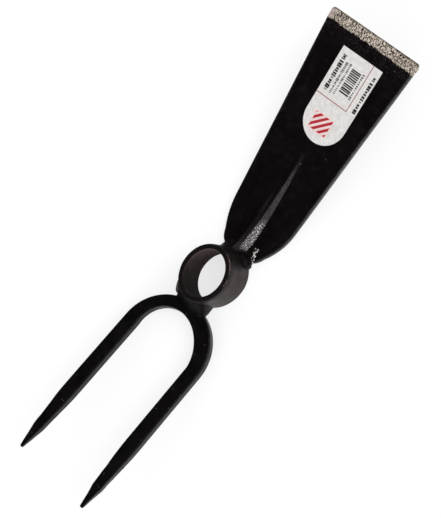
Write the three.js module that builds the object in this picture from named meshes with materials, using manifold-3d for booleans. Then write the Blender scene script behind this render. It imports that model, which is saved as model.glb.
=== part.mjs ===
// Two-prong hoe head: a flared hoe blade and a two-pronged fork, welded to opposite sides of an oval eye.
// Millimetres. The eye stands on its lower rim at the origin: +Z runs up it to the handle side,
// +Y runs out to the cutting edge and -Y to the points of the prongs.
import * as THREE from 'three';
import { mergeVertices } from 'three/addons/utils/BufferGeometryUtils.js';
import Module from 'manifold-3d';

const wasm = await Module();
wasm.setup();

// Fits
const weldGap = 0.3;
const cutOverrun = 4;

// Eye: an oval collar that widens downwards, so that the handle wedges in it. The foot of its wall is
// thicker towards the corners of the blade
const eyeHeight = 25.4;
const eyeWall = 3.4;
const eyeFootSwell = 1.6;
const eyeTopWidth = 25.6;
const eyeTopLength = 31.2;
const eyeBottomWidth = 27;
const eyeBottomLength = 33.2;
const eyeRimRound = 0.8;
const eyeRimSteps = 3;
const eyeSteps = 64;

// Blade: a plate that leaves the foot of the eye, turns up and flares out to the cutting edge. It is welded
// on a little askew, by its lean
const bladeReach = 174.5;
const edgeWidth = 68;
const bladeNeckWidth = 48.5;
const bladeNeckAt = 50;
const shoulderRadius = 52;
const bladeRootWidth = 21.6;
const bladeLean = 0.43;
const bladeRise = 13.3;
const bendStart = 25;
const bendEnd = 55;
const bladeFootLift = 0.35;
const bladeRootInset = 1;
const bladeRootThickness = 2.5;
const bladeEndThickness = 1.4;
const edgeThickness = 0.6;
const groundWidth = 7;
const edgeCornerRadius = 2.6;
const sideBreak = 0.3;
const bladeSteps = 30;
const bladeStepsCrowding = 1.25;
const cornerSteps = 5;

// Rib: the forged spine on top of the blade, highest where it runs into the eye
const ribEnd = 88;
const ribHeight = 8.5;
const ribWidth = 10.8;
const ribTipWidth = 2;
const ribFade = 1.8;
// Half of the rib's section, as shares of its half width and of its height
const ribSectionShares = [[1, 0], [0.75, 0.2], [0.45, 0.56], [0.16, 0.92]];

// Fork: one flat bar bent to a U, its two legs drawn down to points. The bend leans: its inner side is
// fuller by one leg than by the other
const barWidth = 9.5;
const barDepth = 6.9;
const barCorner = 1;
const forkWidth = 64.4;
const crownReach = 32.8;
const crownWaist = 9.3;
const crownWaistFocus = 4;
const crownLean = 1.5;
const forkRise = 9.3;
const forkFootHeight = 0.25;
const prongSplay = 0.7;
const prongLength = 107.5;
const drawnLength = 44;
const pointLength = 15.5;
const pointRootWidth = 6.4;
const pointRootDepth = 5.6;
const tipWidth = 1.9;
const tipDepth = 1.9;
const crownSteps = 24;
const drawnSteps = 3;

// Welds
const bladeWeldHeight = 6.8;
const bladeWeldReach = 3.6;
const bladeWeldFrom = 74;
const bladeWeldRightTo = 44;
const bladeWeldLeftTo = 55;
const bladeWeldSteps = 16;
const bladeWeldHollow = 1.4;
const bladeWeldHollowSteps = 4;
const bladeWeldSwellFrom = 50;
const bladeWeldSwellTo = 135;
const rootWeldSize = 1.6;
const rootWeldSpan = 9;
const neckLength = 2.8;
const neckWaist = 19;
const neckFlare = 3.5;
const neckBead = 9;
const neckBackLap = 11;
const neckWeldHeight = 20;
const neckWeldToe = 1;
const neckLap = 6;
const neckUnderLap = 0.6;
const neckFootHeight = 0.35;
const neckSaddleHollow = 1.1;
const neckSteps = 16;
// Half of the neck's section above and below the bar: shares of its half width and of its height.
// On top, the bead on the left was laid fuller and runs out in a long slope
const neckRightShares = [[1, 0], [1, 0.5], [0.86, 0.85], [0.55, 0.98]];
const neckLeftShares = [[1, 0], [0.98, 0.35], [0.86, 0.7], [0.65, 0.96]];
const neckUnderShares = [[0.9, 0], [0.95, 0.55], [0.94, 0.865], [0.6, 0.98]];
const rippleDepth = 0.22;
const ripplePitch = 3;

// Label: paper with one square end towards the edge and one half-round end
const labelWidth = 30.3;
const labelLength = 58;
const labelThickness = 0.2;
const labelEdgeSetback = 15.3;
const labelOffset = 2;
const labelSteps = 16;

const rad = THREE.MathUtils.degToRad;
const mix = THREE.MathUtils.lerp;
const span = (count) => Array.from({ length: count + 1 }, (_, i) => i / count);

// Skins a row of closed outlines, all with as many points. An open row gets flat ends.
function loft(sections, place, joined = false) {
  const ring = sections[0].length;
  const points = sections.flatMap((section, row) => section.map((p) => place(p, row)));
  const index = [];
  const rows = joined ? sections.length : sections.length - 1;
  for (let row = 0; row < rows; row += 1) {
    const near = row * ring;
    const far = ((row + 1) % sections.length) * ring;
    for (let i = 0; i < ring; i += 1) {
      const next = (i + 1) % ring;
      index.push(near + i, near + next, far + next);
      index.push(near + i, far + next, far + i);
    }
  }
  if (!joined) {
    const last = (sections.length - 1) * ring;
    const ends = [[sections[0], 0, true], [sections.at(-1), last, false]];
    for (const [section, first, turned] of ends) {
      for (const [a, b, c] of THREE.ShapeUtils.triangulateShape(section, [])) {
        index.push(first + a, first + (turned ? c : b), first + (turned ? b : c));
      }
    }
  }
  const geometry = new THREE.BufferGeometry().setFromPoints(points);
  geometry.setIndex(index);
  return outward(geometry);
}

// Turns a closed surface round if its faces point inwards
function outward(geometry) {
  const at = geometry.getAttribute('position');
  const index = Array.from(geometry.index.array);
  const corner = [new THREE.Vector3(), new THREE.Vector3(), new THREE.Vector3()];
  let volume = 0;
  for (let i = 0; i < index.length; i += 3) {
    corner.forEach((v, k) => v.fromBufferAttribute(at, index[i + k]));
    volume += corner[0].dot(corner[1].clone().cross(corner[2]));
  }
  if (volume < 0) index.reverse();
  geometry.setIndex(index);
  return geometry;
}

function solidOf(geometry) {
  const bare = geometry.clone();
  bare.deleteAttribute('normal');
  bare.deleteAttribute('uv');
  const merged = mergeVertices(bare);
  return new wasm.Manifold(new wasm.Mesh({
    numProp: 3,
    vertProperties: new Float32Array(merged.getAttribute('position').array),
    triVerts: new Uint32Array(merged.index.array),
  }));
}

function geometryOf(solid) {
  const mesh = solid.getMesh();
  const geometry = new THREE.BufferGeometry();
  geometry.setAttribute('position', new THREE.BufferAttribute(mesh.vertProperties, 3));
  geometry.setIndex(new THREE.BufferAttribute(mesh.triVerts, 1));
  return geometry;
}

function cutBy(geometry, ...tools) {
  const solid = tools.reduce((left, tool) => left.subtract(solidOf(tool)), solidOf(geometry));
  return geometryOf(solid);
}

// Half sizes of the bore at a height on the eye
function boreAt(z) {
  const share = z / eyeHeight;
  return {
    across: mix(eyeBottomWidth, eyeTopWidth, share) / 2,
    along: mix(eyeBottomLength, eyeTopLength, share) / 2,
  };
}

// A point on the oval at an angle from +X, a given distance outside the bore
function onBore(angle, outside, z) {
  const bore = boreAt(z);
  const x = (bore.across + outside) * Math.cos(angle);
  const y = (bore.along + outside) * Math.sin(angle);
  return new THREE.Vector3(x, y, z);
}

function wallThickness(angle, z) {
  const towardsCorner = Math.abs(Math.cos(angle)) * Math.cos(rad(45)) + Math.sin(angle) * Math.sin(rad(45));
  return eyeWall + eyeFootSwell * Math.max(0, towardsCorner) ** 2 * (1 - z / eyeHeight);
}

// The same, a given distance outside the wall
function onWall(angle, outside, z) {
  return onBore(angle, wallThickness(angle, z) + outside, z);
}

// The wall's section is carried round the oval, its four corners rounded off
function collarSection(angle) {
  const quarter = span(eyeRimSteps).map((share) => share * rad(90));
  const rise = eyeHeight - eyeRimRound;
  const corners = [
    [wallThickness(angle, 0) - eyeRimRound, eyeRimRound, -90],
    [wallThickness(angle, eyeHeight) - eyeRimRound, rise, 0],
    [eyeRimRound, rise, 90],
    [eyeRimRound, eyeRimRound, 180],
  ];
  return corners.flatMap(([out, up, from]) => quarter.map((turn) => new THREE.Vector2(
    out + eyeRimRound * Math.cos(turn + rad(from)),
    up + eyeRimRound * Math.sin(turn + rad(from)),
  )));
}

function collarGeometry() {
  const angles = Array.from({ length: eyeSteps }, (_, row) => (row / eyeSteps) * rad(360));
  return loft(angles.map(collarSection), (p, row) => onBore(angles[row], p.x, p.y), true);
}

// The space that the eye fills, grown by a gap: it trims whatever is welded against the wall
function collarPlug(gap) {
  const low = -cutOverrun;
  const high = eyeHeight + cutOverrun;
  const oval = (z) => span(eyeSteps).slice(1).map((share) => {
    const at = onWall(share * rad(360), gap, z);
    return new THREE.Vector2(at.x, at.y);
  });
  const heights = [low, high];
  return loft(heights.map(oval), (p, row) => new THREE.Vector3(p.x, p.y, heights[row]));
}

// Along Y, from the eye's centre: the foot of its wall by the blade and by the fork, and one neck further
// on the crown of the fork
const rootAt = eyeBottomLength / 2 + wallThickness(rad(90), 0);
const wallAt = eyeBottomLength / 2 + eyeWall;
const crownAt = wallAt + neckLength;
const crownCentreAt = crownAt + crownReach;

// Half width of the blade: a straight flare past the neck, an arc tangent to it down to the root
const flareSlope = (edgeWidth - bladeNeckWidth) / 2 / (bladeReach - bladeNeckAt);
const flareAngle = Math.atan(flareSlope);
const shoulderX = bladeNeckWidth / 2 - shoulderRadius * Math.cos(flareAngle);
const shoulderY = bladeNeckAt + shoulderRadius * Math.sin(flareAngle);

function bladeHalfWidth(y) {
  if (y < bladeNeckAt) {
    const down = Math.min(shoulderRadius, shoulderY - y);
    const shoulder = shoulderX + Math.sqrt(shoulderRadius ** 2 - down ** 2);
    return Math.max(bladeRootWidth / 2, shoulder);
  }
  const flare = bladeNeckWidth / 2 + flareSlope * (y - bladeNeckAt);
  const past = Math.max(0, y - (bladeReach - edgeCornerRadius));
  return flare - edgeCornerRadius + Math.sqrt(Math.max(0, edgeCornerRadius ** 2 - past ** 2));
}

// Height of the blade's top face: level at the root, then bent up to its rise
function bladeTop(y) {
  const slope = Math.tan(rad(bladeRise));
  const root = bladeFootLift + bladeRootThickness;
  const bend = bendEnd - bendStart;
  const into = THREE.MathUtils.clamp(y - bendStart, 0, bend);
  return root + slope * (into ** 2 / 2 / bend) + slope * Math.max(0, y - bendEnd);
}

const groundFrom = bladeReach - groundWidth;

function bladeThickness(y) {
  const along = THREE.MathUtils.clamp((y - bendStart) / (groundFrom - bendStart), 0, 1);
  return mix(bladeRootThickness, bladeEndThickness, along);
}

// What the grinding has taken off the top face on the way to the edge
function groundOff(y) {
  const along = Math.max(0, y - groundFrom) / groundWidth;
  return along * (bladeEndThickness - edgeThickness);
}

function ribAt(y, root) {
  const along = THREE.MathUtils.clamp((y - root) / (ribEnd - root), 0, 1);
  return {
    height: ribHeight * (1 - along) ** ribFade,
    half: mix(ribWidth, ribTipWidth, along) / 2,
  };
}

// How far the blade's middle has drifted to the right
function bladeMiddle(y) {
  return Math.tan(rad(bladeLean)) * (y - rootAt);
}

// One blade section across the tool, anticlockwise, with x across and y up
function bladeSection(y, grow) {
  const half = bladeHalfWidth(y) + grow;
  const top = bladeTop(y) - groundOff(y) + grow;
  const bottom = bladeTop(y) - bladeThickness(y) - grow;
  const chamfer = Math.min(sideBreak, (top - bottom) / 4);
  const rib = ribAt(y, rootAt);
  const ribHalf = Math.min(rib.half + grow, half - 2 * chamfer);
  const between = mix(ribHalf, half, 1 / 2);
  const side = [
    [half - chamfer, bottom],
    [half, bottom + chamfer],
    [half, top - chamfer],
    [half - chamfer, top],
    [between, top],
    ...ribSectionShares.map(([out, up]) => [ribHalf * out, top + rib.height * up]),
  ];
  const right = side.map(([x, z]) => new THREE.Vector2(x, z));
  const left = side.map(([x, z]) => new THREE.Vector2(-x, z)).reverse();
  return [...right, new THREE.Vector2(0, top + rib.height), ...left];
}

function bladeGeometry(grow = 0) {
  const innerEnd = eyeBottomLength / 2 - bladeRootInset;
  const cornerStart = bladeReach - edgeCornerRadius;
  const stations = [
    ...span(bladeSteps).map((share) => mix(innerEnd, groundFrom, share ** bladeStepsCrowding)),
    mix(groundFrom, cornerStart, 1 / 2),
    ...span(cornerSteps).map((share) => {
      const turned = Math.sin(share * rad(90));
      return cornerStart + edgeCornerRadius * turned;
    }),
  ];
  const sections = stations.map((y) => bladeSection(y, grow));
  return loft(sections, (p, row) => {
    const y = stations[row];
    return new THREE.Vector3(p.x + bladeMiddle(y), y, p.y);
  });
}

// Along the bar: centre, outward direction and size of the section, in the plane of the fork
function barStations(grow) {
  const across = (forkWidth - barWidth) / 2;
  const along = crownReach - crownWaist / 2;
  const splay = rad(prongSplay);
  const drawn = span(drawnSteps).map((share) => ({
    down: mix(prongLength - drawnLength, prongLength - pointLength, share),
    width: mix(barWidth, pointRootWidth, share),
    depth: mix(barDepth, pointRootDepth, share),
  }));
  const tip = { down: prongLength + grow, width: tipWidth, depth: tipDepth };
  const prong = (side) => [...drawn, tip].map(({ down, ...size }) => ({
    x: side * (across * Math.cos(splay) + down * Math.sin(splay)),
    y: -crownCentreAt + along * Math.sin(splay) - down * Math.cos(splay),
    turn: side > 0 ? splay : rad(180) - splay,
    ...size,
  }));
  const crown = span(crownSteps).map((share) => {
    const turn = mix(splay, rad(180) - splay, share);
    const waisted = mix(barWidth, crownWaist, Math.sin(turn) ** crownWaistFocus);
    const lean = crownLean * Math.sin(turn + turn);
    return {
      x: (across - lean / 2) * Math.cos(turn),
      y: (along - lean / 2) * Math.sin(turn) - crownCentreAt,
      turn,
      width: waisted + lean,
      depth: barDepth,
    };
  });
  return [...prong(1).reverse(), ...crown, ...prong(-1)];
}

// The bar's section is a flat with bevelled corners; x runs outwards in the fork's plane, y up
function barSection({ width, depth }, grow) {
  const x = width / 2 + grow;
  const y = depth / 2 + grow;
  const corner = Math.min(barCorner, width / 4, depth / 4);
  return [
    [x, y - corner], [x - corner, y], [corner - x, y], [-x, y - corner],
    [-x, corner - y], [corner - x, -y], [x - corner, -y], [x, corner - y],
  ].map(([u, v]) => new THREE.Vector2(u, v));
}

function forkGeometry(grow = 0) {
  const stations = barStations(grow);
  const place = (p, row) => {
    const at = stations[row];
    return new THREE.Vector3(at.x + p.x * Math.cos(at.turn), at.y + p.x * Math.sin(at.turn), p.y);
  };
  return loft(stations.map((at) => barSection(at, grow)), place);
}

// The fork's plane leans up from the foot of the eye towards the points
const forkPlane = new THREE.Group();
forkPlane.position.z = forkFootHeight;
forkPlane.rotation.x = -rad(forkRise);
forkPlane.updateMatrix();

function forkInPlace(grow) {
  return forkGeometry(grow).applyMatrix4(forkPlane.matrix);
}

const ripple = (along) => rippleDepth * Math.cos((along / ripplePitch) * rad(360));

// A fillet of weld in the corner between the eye and the blade, from the rib round the blade's shoulder
function bladeWeldGeometry(side, endAngle) {
  const angles = span(bladeWeldSteps).map((share) => rad(mix(bladeWeldFrom, endAngle, share)));
  const length = rad(bladeWeldFrom - endAngle) * rootAt;
  const foot = bladeFootLift + bladeRootThickness;
  const inner = -eyeWall / 2;
  const sections = span(bladeWeldSteps).map((share) => {
    const swell = Math.sin(rad(mix(bladeWeldSwellFrom, bladeWeldSwellTo, share)));
    const reach = bladeWeldReach * swell + ripple(share * length);
    const height = bladeWeldHeight * swell + ripple(share * length);
    const arc = span(bladeWeldHollowSteps).map((turn) => new THREE.Vector2(
      reach * Math.cos(turn * rad(90)) ** bladeWeldHollow,
      foot + height * Math.sin(turn * rad(90)) ** bladeWeldHollow,
    ));
    const back = [new THREE.Vector2(inner, bladeFootLift), new THREE.Vector2(reach, bladeFootLift)];
    return [...back, ...arc, new THREE.Vector2(inner, foot + height)];
  });
  const body = loft(sections, (p, row) => {
    const at = onWall(angles[row], p.x, p.y);
    return at.setX(side * at.x);
  });
  return cutBy(body, collarPlug(weldGap), bladeGeometry(weldGap));
}

// The bead that fills the bevelled underside of the blade's root
function rootWeldGeometry(grow = 0) {
  const half = Math.asin(rootWeldSpan / (eyeBottomWidth / 2 + eyeWall)) + grow / (eyeBottomWidth / 2);
  const angles = span(bladeWeldSteps).map((share) => rad(90) + mix(-half, half, share));
  const low = bladeFootLift / 2 - grow;
  const high = bladeFootLift / 2 + rootWeldSize + grow;
  const section = [
    new THREE.Vector2(-eyeWall / 2, low),
    new THREE.Vector2(weldGap + rootWeldSize + 2 * grow, low),
    new THREE.Vector2(weldGap + grow, high),
    new THREE.Vector2(-eyeWall / 2, high),
  ];
  return loft(angles.map(() => section), (p, row) => onWall(angles[row], p.x, p.y));
}

// The neck between the eye and the crown: waisted in plan, its top a saddle that runs down onto the bar.
// It laps back round the eye's wall, and flares out on the crown
function neckSection(reach, lower) {
  const along = Math.max(0, (reach - wallAt + eyeWall) / (neckLength + neckLap + eyeWall));
  const ontoCrown = Math.max(0, reach - mix(wallAt, crownAt, 1 / 2)) / neckLap;
  const half = neckWaist / 2 + neckFlare * Math.min(1, ontoCrown ** 2);
  const barMiddle = forkFootHeight + Math.tan(rad(forkRise)) * reach;
  const crest = barMiddle + barDepth / 2 + neckWeldToe;
  const saddle = mix(neckWeldHeight, crest, Math.sin(along * rad(90)) ** neckSaddleHollow);
  const low = lower ? neckFootHeight : barMiddle;
  const high = lower ? barMiddle - weldGap : saddle + ripple(reach);
  const outline = (shares, reachOut) => shares.map(([out, up]) => [reachOut * out, mix(low, high, up)]);
  const right = outline(lower ? neckUnderShares : neckRightShares, half);
  const left = outline(lower ? neckUnderShares : neckLeftShares, half + neckBead * (1 - ontoCrown ** 2));
  return [
    ...right.map(([x, z]) => new THREE.Vector2(x, z)),
    new THREE.Vector2(0, high),
    ...left.map(([x, z]) => new THREE.Vector2(-x, z)).reverse(),
  ];
}

function neckGeometry(lower) {
  const from = wallAt - neckBackLap;
  const to = crownAt + (lower ? neckUnderLap : neckLap);
  const stations = span(neckSteps).map((share) => mix(from, to, share));
  const sections = stations.map((reach) => neckSection(reach, lower));
  const body = loft(sections, (p, row) => new THREE.Vector3(p.x, -stations[row], p.y));
  return cutBy(body, collarPlug(weldGap), forkInPlace(weldGap));
}

// Paper label, flat on the blade's rising face
function labelGeometry() {
  const half = labelWidth / 2;
  const straight = labelLength - half;
  const outline = new THREE.Shape();
  outline.moveTo(half, 0);
  outline.lineTo(-half, 0);
  outline.lineTo(-half, -straight);
  outline.absarc(0, -straight, half, rad(180), rad(360), false);
  outline.closePath();
  const paper = { depth: labelThickness, bevelEnabled: false, curveSegments: labelSteps };
  return new THREE.ExtrudeGeometry(outline, paper);
}

const paint = (color, roughness) => new THREE.MeshStandardMaterial({ color, roughness, metalness: 0.1 });
const bladePaint = paint('#161314', 0.35);
const forkPaint = paint('#1d1819', 0.4);
const eyePaint = paint('#2b2624', 0.42);
const weldPaint = paint('#262223', 0.5);
const labelPaper = new THREE.MeshStandardMaterial({ color: '#e9e2e2', roughness: 0.7, metalness: 0 });

function piece(name, geometry, material) {
  const mesh = new THREE.Mesh(geometry, material);
  mesh.name = name;
  return mesh;
}

const head = new THREE.Group();
const plate = cutBy(bladeGeometry(), collarPlug(weldGap), rootWeldGeometry(weldGap));
head.add(piece('eye_collar', collarGeometry(), eyePaint));
head.add(piece('blade', plate, bladePaint));
head.add(piece('blade_weld_right', bladeWeldGeometry(1, bladeWeldRightTo), weldPaint));
head.add(piece('blade_weld_left', bladeWeldGeometry(-1, bladeWeldLeftTo), weldPaint));
head.add(piece('blade_weld_under', cutBy(rootWeldGeometry(), collarPlug(weldGap)), weldPaint));

forkPlane.add(piece('fork_bar', forkGeometry(), forkPaint));
head.add(forkPlane);
head.add(piece('fork_weld_top', neckGeometry(false), weldPaint));
head.add(piece('fork_weld_under', neckGeometry(true), weldPaint));

const labelPlane = new THREE.Group();
const labelAt = bladeReach - labelEdgeSetback;
labelPlane.position.set(labelOffset, labelAt, bladeTop(labelAt));
labelPlane.rotation.x = rad(bladeRise);
const label = piece('paper_label', labelGeometry(), labelPaper);
label.position.z = weldGap;
labelPlane.add(label);
head.add(labelPlane);

export default head;
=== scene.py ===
import functools
import math

import bmesh
import bpy
import numpy as np
from mathutils import Matrix, Vector, noise
from mathutils.bvhtree import BVHTree


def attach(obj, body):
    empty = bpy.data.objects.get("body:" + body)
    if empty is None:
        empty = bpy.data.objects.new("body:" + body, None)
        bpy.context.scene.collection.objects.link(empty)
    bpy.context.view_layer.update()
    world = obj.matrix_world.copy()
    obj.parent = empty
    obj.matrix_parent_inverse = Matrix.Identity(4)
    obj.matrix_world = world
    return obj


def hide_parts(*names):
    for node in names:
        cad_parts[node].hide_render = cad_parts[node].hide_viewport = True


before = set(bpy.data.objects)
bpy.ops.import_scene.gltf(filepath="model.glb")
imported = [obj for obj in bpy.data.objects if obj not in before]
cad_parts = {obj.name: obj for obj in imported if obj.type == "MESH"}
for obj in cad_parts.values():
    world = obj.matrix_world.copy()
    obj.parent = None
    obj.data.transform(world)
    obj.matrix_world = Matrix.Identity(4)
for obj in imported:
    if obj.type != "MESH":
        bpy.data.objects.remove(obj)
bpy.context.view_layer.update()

metresPerMm = 0.001
mmPerMetre = 1000


# Small tools

def mix(a, b, share):
    return a + (b - a) * share


def clamp01(value):
    return np.clip(value, 0.0, 1.0)


def smooth(share):
    share = clamp01(share)
    return share * share * (3 - 2 * share)


# 0 before the start to 1 a length past it, smoothly. A negative length runs the other way
def ramp(value, startAndLength):
    start, length = startAndLength
    return smooth((value - start) / length)


# sRGB hex to a linear colour
def linear(code):
    parts = [int(code[i:i + 2], 16) / 255 for i in (1, 3, 5)]
    return tuple(p / 12.92 if p <= 0.04045 else ((p + 0.055) / 1.055) ** 2.4 for p in parts) + (1.0,)


# Adds a node, sets its properties, fills or links its inputs and gives back its outputs. A kind that
# names no family is a shader node
def addNode(tree, kind, inputs=None, **settings):
    node = tree.nodes.new(kind if "Node" in kind else "ShaderNode" + kind)
    for name, value in settings.items():
        setattr(node, name, value)
    for key, value in (inputs or {}).items():
        if isinstance(value, bpy.types.NodeSocket):
            tree.links.new(value, node.inputs[key])
        else:
            node.inputs[key].default_value = value
    return node.outputs


inputKinds = {float: "Float", int: "Int", list: "Vector"}


# A bare material, and what adds a node to it
def newMaterial(name):
    material = bpy.data.materials.new(name)
    material.use_nodes = True
    material.node_tree.nodes.clear()
    return material, functools.partial(addNode, material.node_tree)


# A Geometry Nodes tree with a named input for each value given, what adds a node to it, and its inputs
def newTree(name, geometryIn, values, geometryOut):
    tree = bpy.data.node_groups.new(name, "GeometryNodeTree")
    kinds = {label: inputKinds[type(value)] for label, value in values.items()}
    for label, kind in {geometryIn: "Geometry", **kinds, "Finish": "Material"}.items():
        tree.interface.new_socket(label, in_out="INPUT", socket_type="NodeSocket" + kind)
    tree.interface.new_socket(geometryOut, in_out="OUTPUT", socket_type="NodeSocketGeometry")
    add = functools.partial(addNode, tree)
    return tree, add, add("NodeGroupInput")


# Ends a tree: what it made as one real mesh of the finish given
def endTree(tree, add, start, made, geometryOut):
    made = add("GeometryNodeRealizeInstances", {0: made})[0]
    made = add("GeometryNodeSetMaterial", {"Geometry": made, "Material": start["Finish"]})[0]
    add("NodeGroupOutput", {geometryOut: made})
    return tree


seedSteps = (17.3, 5.1, 9.7)


# Smooth noise in -1..1 at each point, with lumps about sizeMm across. A seed moves it along seedSteps
def lumps(points, sizeMm, seed):
    offset = Vector([seed * step for step in seedSteps])
    flat = [noise.noise(Vector(p) / sizeMm + offset) for p in points.reshape(-1, 3)]
    return np.array(flat).reshape(points.shape[:-1])


# Gives every point of a mesh a number, or a vector where the kind is FLOAT_VECTOR
def setAttribute(mesh, name, values, kind="FLOAT"):
    layer = mesh.attributes.new(name, kind, "POINT")
    field = "value" if kind == "FLOAT" else "vector"
    layer.data.foreach_set(field, np.asarray(values, np.float32).ravel())


# A mesh from points in millimetres
def meshOf(name, points, faces, attributes=None):
    mesh = bpy.data.meshes.new(name)
    mesh.from_pydata((np.asarray(points).reshape(-1, 3) * metresPerMm).tolist(), [], faces)
    for key, values in (attributes or {}).items():
        setAttribute(mesh, key, values)
    mesh.update()
    return mesh


# A mesh of places in metres joined in a row
def pathOf(name, places):
    path = bpy.data.meshes.new(name)
    path.from_pydata(places, [(i, i + 1) for i in range(len(places) - 1)], [])
    return path


# Quads between rows of points; joinedRows closes the last row onto the first
def gridFaces(rows, columns, joinedRows=False, joinedColumns=True):
    faces = []
    for row in range(rows if joinedRows else rows - 1):
        near, far = row * columns, (row + 1) % rows * columns
        for i in range(columns if joinedColumns else columns - 1):
            j = (i + 1) % columns
            faces.append((near + i, near + j, far + j, far + i))
    return faces


# A working copy of a mesh, and the same written back
def opened(mesh):
    work = bmesh.new()
    work.from_mesh(mesh)
    return work


def closed(work, mesh):
    work.to_mesh(mesh)
    work.free()
    return mesh


def splitWideFaces(work):
    bmesh.ops.triangulate(work, faces=[f for f in work.faces if len(f.verts) > 4])


# Merges doubles, points the faces outwards and shades all but the sharp edges smooth
def tidyMesh(mesh, mergeMm, crease):
    work = opened(mesh)
    bmesh.ops.remove_doubles(work, verts=work.verts, dist=mergeMm * metresPerMm)
    bmesh.ops.recalc_face_normals(work, faces=work.faces)
    if work.calc_volume(signed=True) < 0:
        bmesh.ops.reverse_faces(work, faces=work.faces)
    closed(work, mesh)
    mesh.shade_smooth()
    mesh.set_sharp_from_angle(angle=math.radians(crease))
    mesh.update()
    return mesh


def linkedObject(name, data):
    made = bpy.data.objects.new(name, data)
    bpy.context.scene.collection.objects.link(made)
    return made


# Puts a finished mesh in the scene as a piece of the hoe
def addPiece(mesh, material, replaced=()):
    piece = linkedObject(mesh.name, mesh)
    mesh.materials.clear()
    mesh.materials.append(material)
    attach(piece, "root")
    if replaced:
        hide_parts(*replaced)


# The evaluated result of an object's modifiers as a plain mesh; the object goes
def bakedMesh(source, name):
    bpy.context.view_layer.update()
    seen = source.evaluated_get(bpy.context.evaluated_depsgraph_get())
    mesh = bpy.data.meshes.new_from_object(seen)
    mesh.name = name
    bpy.data.objects.remove(source)
    return mesh


# What a Geometry Nodes tree makes of a mesh. Its inputs are set by their sockets' identifiers
def grownMesh(name, start, tree, values):
    source = linkedObject(start.name, start)
    modifier = source.modifiers.new(tree.name, "NODES")
    modifier.node_group = tree
    for item in tree.interface.items_tree:
        if getattr(item, "in_out", None) == "INPUT" and item.name in values:
            modifier[item.identifier] = values[item.name]
    return bakedMesh(source, name)


# Materials

# How finely the noises of every paint are built up, and the levels that tone and sheen are spread from
paintNoise = {
    "tone": {"Detail": 4.0, "Roughness": 0.6}, "toneLevels": (0.35, 0.7),
    "sheen": {"Detail": 3.0}, "sheenLevels": (0.3, 0.7),
    "edge": {"Detail": 4.0, "Roughness": 0.65}, "grain": {"Detail": 3.0, "Roughness": 0.7},
}


# The noise that a pattern asks for, its spread between two levels, and two colours mixed by that
def mottled(add, pattern, levels, first, second):
    field = add("TexNoise", pattern)["Fac"]
    spread = add("MapRange", {0: field, 1: levels[0], 2: levels[1]})[0]
    mixed = add("Mix", {0: spread, 6: linear(first), 7: linear(second)}, data_type="RGBA")[2]
    return field, spread, mixed


# Ends a material in one shader with the relief of a height
def endMaterial(add, height, depthMm, strength, inputs):
    bump = add("Bump", {"Height": height, "Distance": depthMm * metresPerMm, "Strength": strength})[0]
    shader = add("BsdfPrincipled", {**inputs, "Normal": bump})[0]
    add("OutputMaterial", {"Surface": shader})


# Black enamel brushed thin over steel: nearly black and satin, a little uneven, with a fine orange peel.
# Each layer then shows what lies under the paint or on it, or painted light and shade, where an attribute
# of the mesh says so
def paintMaterial(name, look):
    material, add = newMaterial(name)
    place = add("TexCoord")["Object"]
    pattern = {"Vector": place, "Scale": mmPerMetre / look["mottleMm"], **paintNoise["tone"]}
    color = mottled(add, pattern, paintNoise["toneLevels"], look["dark"], look["light"])[2]
    pattern = {"Vector": place, "Scale": mmPerMetre / look["sheenMm"], **paintNoise["sheen"]}
    low, high = paintNoise["sheenLevels"]
    sheen = add("TexNoise", pattern)["Fac"]
    rough = add("MapRange", {0: sheen, 1: low, 2: high, 3: look["rough"][0], 4: look["rough"][1]})[0]
    height = add("TexNoise", {"Vector": place, "Scale": mmPerMetre / look["peelMm"]})["Fac"]
    metal = 0.0
    for layer in look["layers"]:
        mask = add("Attribute", attribute_name=layer["mask"])["Fac"]
        pattern = {"Vector": place, "Scale": mmPerMetre / layer["edgeMm"], **paintNoise["edge"]}
        ragged = add("TexNoise", pattern)["Fac"]
        mask = add("Math", {0: ragged, 1: layer["reach"], 2: mask}, operation="MULTIPLY_ADD")[0]
        mask = add("MapRange", {0: mask, 1: layer["from"], 2: layer["to"], 4: layer["share"]})[0]
        sized = add("Mapping", {"Vector": place, "Scale": [mmPerMetre / mm for mm in layer["grainMm"]]})[0]
        pattern = {"Vector": sized, "Scale": 1.0, **paintNoise["grain"]}
        grain, shown = mottled(add, pattern, layer["grain"], layer["between"], layer["color"])[1:]
        if layer.get("dotted"):
            mask = add("Math", {0: mask, 1: grain}, operation="MULTIPLY")[0]
        color = add("Mix", {0: mask, 6: color, 7: shown}, data_type="RGBA")[2]
        if "rough" in layer:
            rough = add("Mix", {0: mask, 2: rough, 3: layer["rough"]})[0]
        if "metal" in layer:
            metal = add("Mix", {0: mask, 2: metal, 3: layer["metal"]})[0]
        if "bump" in layer:
            relief = add("Math", {0: grain, 1: mask}, operation="MULTIPLY")[0]
            height = add("Math", {0: relief, 1: layer["bump"], 2: height}, operation="MULTIPLY_ADD")[0]
    # dust and pin holes: sparse dots, one in a few dozen cells
    cells = add("TexVoronoi", {"Vector": place, "Scale": mmPerMetre / look["speckEveryMm"]})
    chosen = add("SeparateColor", {0: cells["Color"]})[0]
    chosen = add("Math", {0: chosen, 1: look["speckRare"]}, operation="GREATER_THAN")[0]
    solid, faded = look["speckRadius"]
    dot = add("MapRange", {0: cells["Distance"], 1: solid, 2: faded, 3: look["speckShare"], 4: 0.0})[0]
    dot = add("Math", {0: dot, 1: chosen}, operation="MULTIPLY")[0]
    color = add("Mix", {0: dot, 6: color, 7: linear(look["speck"])}, data_type="RGBA")[2]
    endMaterial(add, height, look["peelDepthMm"], look["peelStrength"], {
        "Base Color": color, "Roughness": rough, "Metallic": metal, "Specular IOR Level": look["specular"]})
    return material
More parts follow.
